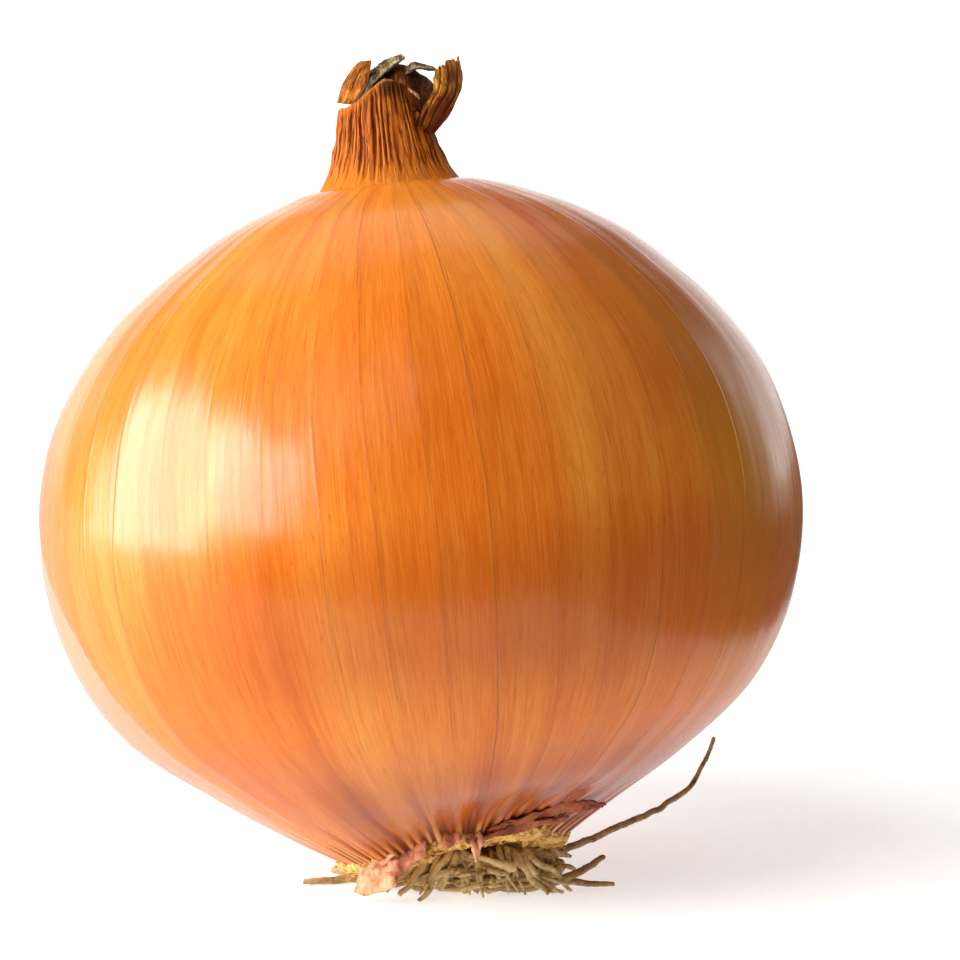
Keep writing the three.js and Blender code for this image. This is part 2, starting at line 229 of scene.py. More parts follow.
def to_object(name: str, points: Array, faces: list, notes: dict[str, Array] | None = None) -> bpy.types.Object:
    """Makes an object at the origin from points in millimetres.

    Args:
        name: The piece's name.
        points: Corners in the part's frame.
        faces: Corner numbers of each face, or of each edge where they come in twos.
        notes: Attributes of the corners, one number or three numbers each.

    Returns:
        The smooth-shaded object.
    """
    mesh = bpy.data.meshes.new(name)
    edges = [f for f in faces if len(f) == 2]
    mesh.from_pydata((points * MM).tolist(), edges, [f for f in faces if len(f) > 2])
    for key, values in (notes or {}).items():
        flat = values.ndim == 1
        layer = mesh.attributes.new(key, "FLOAT" if flat else "FLOAT_VECTOR", "POINT")
        layer.data.foreach_set("value" if flat else "vector", values.astype(np.float32).ravel())
    mesh.polygons.foreach_set("use_smooth", [True] * len(mesh.polygons))
    mesh.update()
    piece = bpy.data.objects.new(name, mesh)
    bpy.context.scene.collection.objects.link(piece)
    return piece


def even_rows(line: Array, rows: int) -> tuple[Array, Array, Array]:
    """Radius and height at even steps along an outline, and each step's share of its length, without the poles."""
    length = np.concatenate([[0], np.cumsum(np.hypot(*np.diff(line, axis=0).T))])
    along = np.linspace(0, length[-1], rows + 2)[1:-1]
    radius, height = (np.interp(along, length, line[:, k])[:, None] for k in range(2))
    return radius, height, (along / length[-1])[:, None]


def tube_faces(rows: int, columns: int) -> list[tuple[int, ...]]:
    """Faces of a surface of revolution whose first and last rows are single poles.

    Args:
        rows: How many rows of corners stand between the poles.
        columns: How many corners go round.

    Returns:
        Faces that point outwards where the rows run up and the columns run anticlockwise from above.
    """
    faces: list[tuple[int, ...]] = []
    top = rows * columns + 1
    for c in range(columns):
        d = (c + 1) % columns
        faces.append((0, 1 + d, 1 + c))
        faces.append((top, top - columns + c, top - columns + d))
        for r in range(rows - 1):
            low, high = 1 + r * columns, 1 + (r + 1) * columns
            faces.append((low + c, low + d, high + d, high + c))
    return faces


def finish_modifiers(piece: bpy.types.Object) -> bpy.types.Object:
    """Turns what a piece's modifiers make into its own plain mesh."""
    bpy.context.view_layer.update()
    graph = bpy.context.evaluated_depsgraph_get()
    mesh = bpy.data.meshes.new_from_object(piece.evaluated_get(graph), depsgraph=graph)
    piece.modifiers.clear()
    piece.data = mesh
    return piece


def grow(piece: bpy.types.Object, tree: "GrowthTree", **values: object) -> None:
    """Puts a Geometry Nodes tree on a piece and sets the tree's named inputs."""
    modifier = piece.modifiers.new(tree.name, "NODES")
    modifier.node_group = tree.group
    for item in tree.group.interface.items_tree:
        key = item.name.lower().replace(" ", "_")
        if item.in_out == "INPUT" and key in values:
            modifier[item.identifier] = values[key]


class GrowthTree:
    """A Geometry Nodes tree with named inputs, which ends in Realize Instances and Set Material."""

    name = "growth"
    inputs: dict[str, tuple[str, object]] = {}

    def __init__(self) -> None:
        """Makes the group, its sockets and its nodes."""
        self.group = bpy.data.node_groups.new(self.name, "GeometryNodeTree")
        sockets = self.group.interface
        sockets.new_socket(name="Geometry", in_out="INPUT", socket_type="NodeSocketGeometry")
        sockets.new_socket(name="Geometry", in_out="OUTPUT", socket_type="NodeSocketGeometry")
        for label, (kind, default) in self.inputs.items():
            socket = sockets.new_socket(name=label, in_out="INPUT", socket_type=f"NodeSocket{kind}")
            if default is not None:
                socket.default_value = default
        sockets.new_socket(name="Material", in_out="INPUT", socket_type="NodeSocketMaterial")
        self.web = Web(self.group)
        self.given = self.web.add("NodeGroupInput")
        grown = self.build(self.given)
        whole = self.web.add("GeometryNodeRealizeInstances", None, {0: grown})
        values = {"Geometry": whole, "Material": self.given.output("Material")}
        painted = self.web.add("GeometryNodeSetMaterial", None, values)
        self.web.add("NodeGroupOutput", None, {0: painted})

    def build(self, given: Wire) -> Wire:
        """Adds the tree's own nodes and returns the geometry that they make."""
        raise NotImplementedError

    def attribute(self, name: str, kind: str = "FLOAT_VECTOR") -> Wire:
        """Reads a named attribute of the surface."""
        return self.web.add("GeometryNodeInputNamedAttribute", {"data_type": kind}, {"Name": name})


class RibbedSkin(GrowthTree):
    """Sinks grooves between ribs that run from pole to pole, and adds faint facets."""

    name = "ribbed_skin"
    inputs = {
        "Ribs": ("Float", 26.0),
        "Rib Depth": ("Float", 0.5),
        "Ribs From": ("Float", -20.0),
        "Ribs To": ("Float", -34.0),
        "Wander": ("Float", 1.0),
        "Sharpness": ("Float", 0.7),
        "Facet Height": ("Float", 0.1),
        "Facet Scale": ("Float", 2.5),
        "Seed": ("Float", 0.0),
    }

    def build(self, given: Wire) -> Wire:
        """Moves each corner along its normal, and keeps the ribs' height as the attribute crease.

        Args:
            given: The group's inputs.

        Returns:
            The ribbed surface.
        """
        web = self.web
        around, place = self.attribute("around"), self.attribute("place")
        angle = web.add("ShaderNodeSeparateXYZ", None, {0: around})
        height = web.add("ShaderNodeSeparateXYZ", None, {0: place}).output("Y")
        theta = web.math("ARCTAN2", angle.output("Y"), angle)
        seed = given.output("Seed")
        shift = web.add("ShaderNodeCombineXYZ", None, {"X": seed, "Y": seed, "Z": height * 0.06 + seed})
        drift = web.noise(web.vector("ADD", web.vector("MULTIPLY", around, (1.6, 1.6, 0)), shift), 1.0, 2)
        phase = theta * given.output("Ribs") + (drift - 0.5) * given.output("Wander") * 8
        crest = abs(web.math("COSINE", phase * 0.5)) ** given.output("Sharpness")
        values = {
            "Value": height,
            "From Min": given.output("Ribs From"),
            "From Max": given.output("Ribs To"),
        }
        weight = web.add("ShaderNodeMapRange", {"interpolation_type": "SMOOTHSTEP"}, values)
        uneven = web.noise(web.vector("ADD", web.vector("MULTIPLY", around, (4, 4, 0)), shift), 1.7, 2)
        weight = weight * (1 - self.attribute("still", "FLOAT"))
        groove = (crest - 1) * weight * web.smooth(uneven, 0.3, 0.7, 0.35, 1.25)
        facets = web.grain(around, (1, 1, 0.25), 1, scale=given.output("Facet Scale"))
        rise = groove * given.output("Rib Depth") + (facets - 0.5) * given.output("Facet Height")
        normal = web.add("GeometryNodeInputNormal")
        offset = web.add("ShaderNodeVectorMath", {"operation": "SCALE"}, {0: normal, "Scale": rise * MM})
        moved = web.add("GeometryNodeSetPosition", None, {"Geometry": given, "Offset": offset})
        lowest = web.math("MINIMUM", groove + 1, self.attribute("crease", "FLOAT"))
        values = {"Geometry": moved, "Name": "crease", "Value": lowest}
        return web.add("GeometryNodeStoreNamedAttribute", None, values)


class RootStrands(GrowthTree):
    """Turns lines of corners into wiry roots that follow them."""

    name = "root_strands"
    inputs = {
        "Step": ("Float", 0.45),
        "Wobble": ("Float", 0.3),
        "Wobble Scale": ("Float", 0.35),
        "Crinkle": ("Float", 0.12),
        "Sides": ("Int", 7),
        "Seed": ("Float", 0.0),
    }
    crinkle_scale = 1700.0
    lowest = 0.00002

    def build(self, given: Wire) -> Wire:
        """Resamples, bends and thickens the lines, and keeps them above the resting surface.

        Args:
            given: The group's inputs.

        Returns:
            The roots' closed tubes.
        """
        web = self.web
        line = web.add("GeometryNodeMeshToCurve", None, {0: given})
        step = given.output("Step") * MM
        sampled = web.add("GeometryNodeResampleCurve", {"mode": "LENGTH"}, {"Curve": line, "Length": step})
        wobble = self.shake(given.output("Wobble Scale") * 1000, given.output("Seed"), given.output("Wobble"))
        bent = web.add("GeometryNodeSetPosition", None, {"Geometry": sampled, "Offset": wobble})
        radius = self.attribute("thickness", "FLOAT") * (MM / 2)
        wide = web.add("GeometryNodeSetCurveRadius", None, {"Curve": bent, "Radius": radius})
        ring = web.add("GeometryNodeCurvePrimitiveCircle", None, {"Resolution": given.output("Sides"), "Radius": 1.0})
        values = {"Curve": wide, "Profile Curve": ring, "Fill Caps": True}
        tube = web.add("GeometryNodeCurveToMesh", None, values)
        if "Scale" in tube.socket.node.inputs:
            web.tree.links.new(radius.socket, tube.socket.node.inputs["Scale"])
        crinkle = self.shake(self.crinkle_scale, given.output("Seed") + 5, given.output("Crinkle"))
        rough = web.add("GeometryNodeSetPosition", None, {"Geometry": tube, "Offset": crinkle})
        place = web.add("ShaderNodeSeparateXYZ", None, {0: web.add("GeometryNodeInputPosition")})
        above = web.math("MAXIMUM", place.output("Z"), self.lowest)
        values = {"X": place, "Y": place.output("Y"), "Z": above}
        values = {"Geometry": rough, "Position": web.add("ShaderNodeCombineXYZ", None, values)}
        resting = web.add("GeometryNodeSetPosition", None, values)
        return web.add("GeometryNodeSetShadeSmooth", None, {0: resting})

    def shake(self, scale: "Wire | float", seed: Wire, size: Wire) -> Wire:
        """A smooth random offset in metres, from a size in millimetres."""
        web = self.web
        values = {"W": seed, "Scale": scale, "Detail": 1.0}
        field = web.add("ShaderNodeTexNoise", {"noise_dimensions": "4D"}, values).output("Color")
        centred = web.vector("SUBTRACT", field, (0.5, 0.5, 0.5))
        return web.add("ShaderNodeVectorMath", {"operation": "SCALE"}, {0: centred, "Scale": size * (2 * MM)})


class CorkFlakes(GrowthTree):
    """Scatters small thin flakes of cork over a carrier."""

    name = "cork_flakes"
    inputs = {
        "Spacing": ("Float", 0.8),
        "Density": ("Float", 1.2),
        "Flake Size": ("Float", 0.8),
        "Raggedness": ("Float", 0.4),
        "Seed": ("Int", 3),
    }
    flake_shape = (0.8, 0.35, 0.16)
    smallest, largest = 0.45, 1.2
    tilt = 0.7
    tear_scale = 1300.0

    def build(self, given: Wire) -> Wire:
        """Places the flakes and joins them to the carrier.

        Args:
            given: The group's inputs.

        Returns:
            The carrier with its flakes.
        """
        web = self.web
        seed = given.output("Seed")
        values = {
            "Mesh": given,
            "Selection": self.attribute("flaky", "FLOAT"),
            "Distance Min": given.output("Spacing") * MM,
            "Density Max": given.output("Density") * 1e6,
            "Seed": seed,
        }
        points = web.add("GeometryNodeDistributePointsOnFaces", {"distribute_method": "POISSON"}, values)
        values = {"Radius": given.output("Flake Size") * MM, "Subdivisions": 3}
        flake = web.add("GeometryNodeMeshIcoSphere", None, values)
        thin = web.add("GeometryNodeTransform", None, {"Geometry": flake, "Scale": self.flake_shape})
        tilted = (self.tilt, self.tilt, math.pi)
        values = {0: tuple(-angle for angle in tilted), 1: tilted, "Seed": seed}
        turn = web.add("FunctionNodeRandomValue", {"data_type": "FLOAT_VECTOR"}, values)
        values = {"Rotation": points.output("Rotation"), "Rotate By": turn}
        facing = web.add("FunctionNodeRotateEuler", {"rotation_type": "EULER", "space": "LOCAL"}, values)
        values = {2: self.smallest, 3: self.largest, "Seed": seed}
        size = web.add("FunctionNodeRandomValue", {"data_type": "FLOAT"}, values).output(1)
        values = {"Points": points, "Instance": thin, "Rotation": facing, "Scale": size}
        placed = web.add("GeometryNodeInstanceOnPoints", None, values)
        real = web.add("GeometryNodeRealizeInstances", None, {0: placed})
        ragged = web.add("ShaderNodeTexNoise", None, {"Scale": self.tear_scale, "Detail": 2.0}).output("Color")
        values = {0: web.vector("SUBTRACT", ragged, (0.5, 0.5, 0.5)), "Scale": given.output("Raggedness") * (2 * MM)}
        offset = web.add("ShaderNodeVectorMath", {"operation": "SCALE"}, values)
        torn = web.add("GeometryNodeSetPosition", None, {"Geometry": real, "Offset": offset})
        joined = web.add("GeometryNodeJoinGeometry", None, {0: torn})
        web.tree.links.new(given.socket, joined.socket.node.inputs[0])
        return web.add("GeometryNodeSetShadeSmooth", None, {0: joined})


# Finishes


@dataclass(frozen=True)
class Finish:
    """A procedural surface. Subclasses paint it."""

    name: str
    specular: float = 0.5

    def make(self) -> bpy.types.Material:
        """Builds the material.

        Returns:
            The material, with the sockets that vary wired up.
        """
        material = bpy.data.materials.new(self.name)
        material.use_nodes = True
        web = Web(material.node_tree)
        values = self.paint(web)
        values["Specular IOR Level"] = self.specular
        shader = web.add("ShaderNodeBsdfPrincipled", None, values)
        web.add("ShaderNodeOutputMaterial", None, {"Surface": shader})
        return material

    def paint(self, web: Web) -> dict:
        """Adds the nodes and returns the shader's sockets."""
        raise NotImplementedError

    def bump(self, web: Web, height: Wire, strength: float = 1.0) -> Wire:
        """A Normal from a height in millimetres."""
        values = {"Strength": strength, "Distance": MM, "Height": height}
        return web.add("ShaderNodeBump", None, values)


@dataclass(frozen=True)
class BulbSkin(Finish):
    """Glossy golden-brown skin with long grain, veins, and a paler inner skin where the outer one ends."""

    specular: float = 0.45
    golden: Colour = (0.85, 0.32, 0.045)
    amber: Colour = (0.72, 0.165, 0.01)
    brown: Colour = (0.42, 0.065, 0.002)
    olive: Colour = (0.54, 0.21, 0.002)
    # root_brown is the skin's own redder colour and also painted shade towards the root end.
    root_brown: Colour = (0.26, 0.034, 0.002)
    bare: Colour = (0.74, 0.34, 0.18)
    bare_thread: Colour = (0.66, 0.25, 0.1)
    edge_brown: Colour = (0.3, 0.09, 0.02)
    # The colour of the veins, and of the painted shade in the root-end creases.
    crease_brown: Colour = (0.2, 0.045, 0.01)
    ridge_yellow: Colour = (0.88, 0.48, 0.15)
    veins: int = 41
    vein_shift: float = 0.087
    olive_place: Point = (0.87, -0.5, 0.56)

    def paint(self, web: Web) -> dict:
        """Paints grain, bands, veins and the bare strip, and painted shade in the root-end creases, in a band below the
        girth, at the upper front right and towards the root end.

        Args:
            web: The material's tree.

        Returns:
            The shader's sockets.
        """
        around = web.mark("around")
        place = web.mark("place")
        split = web.add("ShaderNodeSeparateXYZ", None, {0: around})
        measures = web.add("ShaderNodeSeparateXYZ", None, {0: place})
        radius, height, bare_by = measures, measures.output("Y"), measures.output("Z")
        fibres = web.grain(around, (220, 220, 22), 3, 0.7)
        threads = web.grain(around, (55, 55, 5), 2, 0.6)
        bands = web.grain(around, (9, 9, 1.1), 3, 0.55)
        patches = web.grain(around, (1.7, 1.7, 2.6), 2)
        vein, ridge = self.vein(web, split, radius, around)
        tone = bands * 0.25 + patches * 0.6 + threads * 0.18
        skin = web.mix(web.smooth(tone, 0.31, 0.62), self.golden, self.amber)
        skin = web.mix(web.smooth(tone, 0.52, 0.85, 0, 0.5), skin, self.brown)
        skin = web.mix(web.smooth(fibres, 0.42, 0.72, 0, 0.42), skin, self.brown)
        skin = web.mix(web.smooth(fibres, 0.5, 0.3, 0, 0.25), skin, self.golden)
        specks = web.grain(around, (120, 120, 75), 2, 0.6)
        skin = web.mix(web.smooth(specks, 0.6, 0.74, 0, 0.35), skin, self.brown)
        shade = web.smooth(web.vector("DISTANCE", around, self.olive_place).output("Value"), 0.32, 0.08, 0, 0.65)
        skin = web.mix(shade, skin, self.olive)
        crease = web.mark("crease", "Fac")
        low = web.smooth(radius, 18.5, 12.6) * web.smooth(height, 0, -10)
        front = web.smooth(split, -0.85, -0.35)
        # Partly the skin's own redder colour and partly painted shade towards the root end; front keeps it weak on the
        # left, where the key light falls.
        ruddy_and_root_shade = web.smooth(radius, 35, 21) * web.smooth(height, -9, -22) * (front * 0.95 + 0.05)
        # Painted shade: a darker band round the girth below the middle, on the front and right.
        band = web.smooth(height, 2, -7) * web.smooth(height, -21, -13)
        skin = web.mix(band * front * 0.45, skin, self.brown)
        # Painted shade: darker skin at the upper front right.
        painted_shade_upper_right = web.smooth(split, 0.25, 0.8) * web.smooth(split.output("Y"), 0, -0.4)
        skin = web.mix(painted_shade_upper_right * web.smooth(height, 3, 14) * 0.42, skin, self.brown)
        skin = web.mix(ruddy_and_root_shade * web.smooth(bands, 0.3, 0.7, 0.45, 0.9), skin, self.root_brown)
        # Painted shade in the grooves of the root-end puckers.
        groove = web.smooth(crease, 0.92, 0.5) * low
        skin = web.mix(groove * 0.95, skin, self.crease_brown)
        crest = web.smooth(crease, 0.7, 0.95) * web.smooth(radius, 16, 12.3) * web.smooth(height, 0, -10)
        skin = web.mix(crest * web.smooth(bands, 0.35, 0.6, 0.4, 1), skin, self.ridge_yellow)
        skin = web.mix(vein * 0.62, skin, self.crease_brown)
        inner = web.smooth(bare_by, 0.0, 0.25)
        skin = web.mix(inner, skin, web.mix(threads, self.bare, self.bare_thread))
        edge = web.smooth(abs(bare_by - 0.12), 0.16, 0.04)
        skin = web.mix(edge * 0.8, skin, self.edge_brown)
        wear = web.grain(around, (60, 60, 9), 3, 0.7)
        rough = web.smooth(wear, 0.3, 0.75, 0.15, 0.32) + groove * 0.3
        relief = fibres * 0.008 + threads * 0.02 + bands * 0.03 + ridge
        return {"Base Color": skin, "Roughness": rough, "Normal": self.bump(web, relief)}

    def vein(self, web: Web, split: Wire, radius: Wire, around: Wire) -> tuple[Wire, Wire]:
        """Thin dark veins, each a little off its even place, and the ridge beside each.

        Args:
            web: The material's tree.
            split: The cosine and sine of the angle round the bulb.
            radius: The distance from the bulb's axis in millimetres.
            around: The attribute that the noise follows.

        Returns:
            The vein's darkness from 0 to 1, and the height in millimetres of its ridge and the skin between.
        """
        theta = web.math("ARCTAN2", split.output("Y"), split)
        drift = web.grain(around, (1.3, 1.3, 2.2), 2)
        phase = theta * (self.veins / TURN) + (drift - 0.5) * 0.9 + (self.veins - self.vein_shift)
        cell = web.math("FLOOR", phase + 0.5)
        number = web.math("FLOORED_MODULO", cell, float(self.veins))
        chance = web.add("ShaderNodeTexWhiteNoise", {"noise_dimensions": "1D"}, {"W": number})
        strength = web.smooth(chance, 0.1, 0.9, 0.4, 1.0)
        off = (phase - cell + (chance - 0.5) * 0.3) * radius * (TURN / self.veins)
        fade = web.smooth(web.grain(around, (8, 8, 3.5), 2), 0.34, 0.6)
        dark = web.smooth(abs(off), 0.14, 0.03) * strength * web.smooth(fade, 0, 1, 0.15, 1)
        pillow = web.math("COSINE", (phase - cell) * TURN) * strength * web.smooth(radius, 8, 30)
        return dark, web.smooth(abs(off - 0.14), 0.3, 0.0) * strength * 0.032 + pillow * 0.04


@dataclass(frozen=True)
class DryLeaf(Finish):
    """Dry, pleated leaf: golden on the crests and dark brown in the grooves, which is painted highlight and painted
    shade over the leaf's own grain.
    """

    specular: float = 0.12
    # crest and groove paint highlight and shade by the crease attribute; middle lies between.
    crest: Colour = (0.68, 0.19, 0.013)
    middle: Colour = (0.52, 0.12, 0.007)
    groove: Colour = (0.18, 0.036, 0.003)
    shadow: Colour = (0.06, 0.015, 0.004)
    lip: Colour = (0.6, 0.22, 0.05)
    lipped: bool = False
    grain: float = 1.0

    def paint(self, web: Web) -> dict:
        """Paints the crests and grooves as painted highlight and painted shade, and fine lengthwise grain.

        Args:
            web: The material's tree.

        Returns:
            The shader's sockets.
        """
        crease = web.mark("crease", "Fac")
        along = web.mark("around")
        place = web.mark("place")
        marks = web.add("ShaderNodeSeparateXYZ", None, {0: place})
        below = marks.output("Z")
        fine = web.grain(along, (34, 34, 3.5), 4, 0.7, scale=self.grain)
        wide = web.grain(along, (4, 4, 3), 2, scale=self.grain)
        wrinkle = web.grain(along, (17, 17, 2.4), 3, 0.6, scale=self.grain)
        wrinkle = web.smooth(abs(wrinkle - 0.5), 0.05, 0.006)
        # Painted light and shade: lighter on crests, darker in grooves and along the wrinkle lines.
        tone = crease + (fine - 0.5) * 1.1 + (wide - 0.5) * 0.7 - wrinkle * 0.4
        if self.lipped:
            tone = tone + web.smooth(marks.output("Y"), 38.5, 35.5, 0, 0.3)
        leaf = web.mix(web.smooth(tone, 0.3, 0.7), self.groove, self.middle)
        leaf = web.mix(web.smooth(tone, 0.6, 1.05), leaf, self.crest)
        if self.lipped:
            leaf = web.mix(marks * 0.8, leaf, self.shadow)
            leaf = web.mix(web.smooth(abs(below - 0.05), 0.14, 0.04, 0, 0.7), leaf, self.lip)
            leaf = web.mix(web.smooth(below, -0.2, -0.6), leaf, self.shadow)
        relief = fine * 0.16 + wide * 0.12 - wrinkle * 0.12
        rough = web.smooth(fine, 0.3, 0.7, 0.4, 0.65)
        return {"Base Color": leaf, "Roughness": rough, "Normal": self.bump(web, relief)}


@dataclass(frozen=True)
class Mottled(Finish):
    """A dry natural surface of three tones, with its marks stretched along the piece or not."""

    specular: float = 0.3
    light: Colour = (0.6, 0.34, 0.12)
    middle: Colour = (0.3, 0.14, 0.04)
    dark: Colour = (0.06, 0.025, 0.01)
    mark_scale: float = 500.0
    stretch: Point = (1.0, 1.0, 1.0)
    relief: float = 0.2
    roughness: tuple[float, float] = (0.6, 0.9)
    shade: tuple[float, float] = (0.35, 0.7)

    def paint(self, web: Web) -> dict:
        """Paints broad marks and fine ones over each other.

        Args:
            web: The material's tree.

        Returns:
            The shader's sockets.
        """
        place = web.add("ShaderNodeTexCoord").output("Object")
        stretched = web.vector("MULTIPLY", place, self.stretch)
        broad = web.noise(stretched, self.mark_scale, 3, 0.6)
        fine = web.noise(stretched, self.mark_scale * 5, 3, 0.7)
        tone = broad * 0.6 + fine * 0.4
        low, high = self.shade
        middle = (low + high) / 2
        paint = web.mix(web.smooth(tone, low, middle), self.dark, self.middle)
        paint = web.mix(web.smooth(tone, middle, high), paint, self.light)
        height = broad * self.relief + fine * (self.relief * 0.35)
        rough = web.smooth(fine, 0.3, 0.7, *self.roughness)
        return {"Base Color": paint, "Roughness": rough, "Normal": self.bump(web, height)}


@dataclass(frozen=True)
class Paper(Finish):
    """A white paper surface with a faint tooth."""

    colour: Colour = (0.9, 0.89, 0.88)
    glow: float = 0.0

    def paint(self, web: Web) -> dict:
        """Paints faint flecks and an even, optional glow.

        Args:
            web: The material's tree.

        Returns:
            The shader's sockets.
        """
        place = web.add("ShaderNodeTexCoord").output("Object")
        tooth = web.noise(place, 900.0, 4, 0.7)
        cloud = web.noise(place, 30.0, 2)
        darker = tuple(0.93 * part for part in self.colour)
        paper = web.mix(web.smooth(tooth * 0.7 + cloud * 0.3, 0.35, 0.65), darker, self.colour)
        values = {"Base Color": paper, "Roughness": web.smooth(tooth, 0.3, 0.7, 0.75, 0.9)}
        values["Normal"] = self.bump(web, tooth * 0.08)
        if self.glow:
            values["Emission Color"] = paper
            values["Emission Strength"] = self.glow
        return values


# The bulb's frame and shape


@dataclass
class BulbShape:
    """The bulb's outline, lean and unevenness, in its own frame with the widest girth at height 0."""

    root_end: float = -36.9
    root_radius: float = 11.2
    lean_left: float = math.radians(6)
    lean_back: float = math.radians(7.5)
    centre: Point = (0, -2, 3.2)
    slant: float = 0.03
    notch: float = 1.9
    neck_shift: float = 0.6
    skin_step: float = 0.25
    torn_from: tuple[float, float] = (232, 272)
    torn_to: tuple[float, float] = (305, 350)
    skin_back: float = 168
    skin_back_slope: float = 0.35
    outline: tuple[tuple[float, float], ...] = (
        (0, -36.9), (11.2, -36.9), (12.6, -36.1), (17.8, -32.9), (25.3, -28.1), (33.7, -21.4),
        (38.9, -12.6), (41, -1.5), (39, 10.2), (34, 19), (27.1, 25.9), (19.2, 31.1), (11.3, 34.3),
        (8.6, 35), (6.5, 35.2), (3, 35.1), (0, 35),
    )
    skin_edge: tuple[tuple[float, float], ...] = (
        (-40, 211.5), (-32.5, 210), (-27.3, 210.6), (-21.1, 210.3), (-14.9, 206.3), (-9.9, 203.5),
        (-5.1, 198.5), (-0.8, 193.5), (5.5, 184.5), (14, 176), (24, 171), (40, 168),
    )

    @property
    def matrix(self) -> Matrix:
        """From the bulb's frame to the part's frame, in millimetres."""
        lean = Matrix.Rotation(-self.lean_back, 4, "X") @ Matrix.Rotation(-self.lean_left, 4, "Y")
        foot = lean @ Vector((0, 0, self.root_end))
        return Matrix.Translation(Vector(self.centre) - foot) @ lean

    def to_part(self, points: Array) -> Array:
        """Points of the bulb's frame in the part's frame."""
        matrix = np.array(self.matrix)
        return points @ matrix[:3, :3].T + matrix[:3, 3]

    def uneven(self, points: Array) -> Array:
        """Shifts the neck to the right and slants and notches the root end, as the solids are.

        Args:
            points: Points of the bulb's frame.

        Returns:
            The moved points.
        """
        x, y, z = points.T
        degrees = np.degrees(np.arctan2(y, x)) % 360
        across = smoothstep(degrees, *self.torn_from) * (1 - smoothstep(degrees, *self.torn_to))
        torn = across * np.minimum(np.hypot(x, y) / self.root_radius, 1)
        low = 1 - smoothstep(z, self.root_end + 1, self.root_end + 10)
        high = smoothstep(z, self.root_end - 1.6, self.root_end - 0.3)
        shifted = x + self.neck_shift * smoothstep(z, 32.3, 35.3)
        lifted = z + low * (self.slant * x + self.notch * torn * high)
        return np.stack([shifted, y, lifted], axis=1)

    def shoulder(self, theta: Array, z: Array) -> Array:
        """How far the right shoulder stands out."""
        return 0.7 * np.cos(theta) * smoothstep(z, 23, 29) * (1 - smoothstep(z, 33.5, 35.2))

    def bare_by(self, theta: Array, z: Array, radius: Array) -> Array:
        """Millimetres past the outer skin's edge, positive where the inner skin shows."""
        heights, angles = np.array(self.skin_edge).T
        degrees = np.degrees(theta) % 360
        front = (np.interp(z, heights, angles) - degrees) * (math.pi / 180) * radius
        back = (degrees - self.skin_back + self.skin_back_slope * z) * (math.pi / 180) * radius
        return np.minimum(front, back)


def polar(theta: Array, radius: Array, height: Array) -> Array:
    """Points at an angle, radius and height round the bulb's axis."""
    return np.stack(np.broadcast_arrays(radius * np.cos(theta), radius * np.sin(theta), height), axis=-1)


@dataclass
class BulbBody:
    """The round bulb in its dry skin, from the root end to under the neck."""

    shape: BulbShape
    finish: Finish
    tree: RibbedSkin
    rows: int = 200
    columns: int = 480

    def build(self) -> bpy.types.Object:
        """Turns the outline, adds the ribs and facets, and dresses it.

        Returns:
            The finished piece.
        """
        line = smooth_line(self.shape.outline, 800)
        line[:, 0] = np.maximum(line[:, 0], 0)
        radius, height, share = even_rows(line, self.rows)
        theta = np.linspace(0, TURN, self.columns, endpoint=False)[None, :]
        theta, radius, height, share = np.broadcast_arrays(theta, radius, height, share)
        bare = self.shape.bare_by(theta, height, radius)
        fading = 1 - smoothstep(height, 24, 32)
        sunk = self.shape.skin_step * smoothstep(bare, 0, 0.5) * fading
        grown = radius + self.shape.shoulder(theta, height) - sunk
        body = polar(theta, grown, height).reshape(-1, 3)
        poles = np.array([[0, 0, line[0, 1]], [0, 0, line[-1, 1]]])
        points = self.shape.uneven(np.concatenate([poles[:1], body, poles[1:]]))
        around = np.stack([np.cos(theta), np.sin(theta), share], axis=-1).reshape(-1, 3)
        place = np.stack([radius, height, bare], axis=-1).reshape(-1, 3)
        ends = np.array([[0, 0, 0], [0, 0, 1]])
        around = np.concatenate([ends[:1], around, ends[1:]])
        place = np.concatenate([[[0, line[0, 1], -9]], place, [[0, line[-1, 1], -9]]])
        notes = {"around": around, "place": place, "crease": np.ones(len(points))}
        faces = tube_faces(self.rows, self.columns)
        piece = to_object("bulb_skin", self.shape.to_part(points), faces, notes)
        paint = self.finish.make()
        grow(piece, self.tree, ribs=37.0, rib_depth=0.6, ribs_from=-29.0, ribs_to=-35.8, wander=1.1,
             sharpness=0.45, facet_height=0.09, facet_scale=3.2, seed=2.0, material=paint)
        grow(piece, self.tree, ribs=83.0, rib_depth=0.35, ribs_from=-31.5, ribs_to=-35.8, wander=1.4,
             sharpness=0.6, facet_height=0.0, facet_scale=3.2, seed=4.0, material=paint)
        finish_modifiers(piece)
        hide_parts("bulb")
        return piece


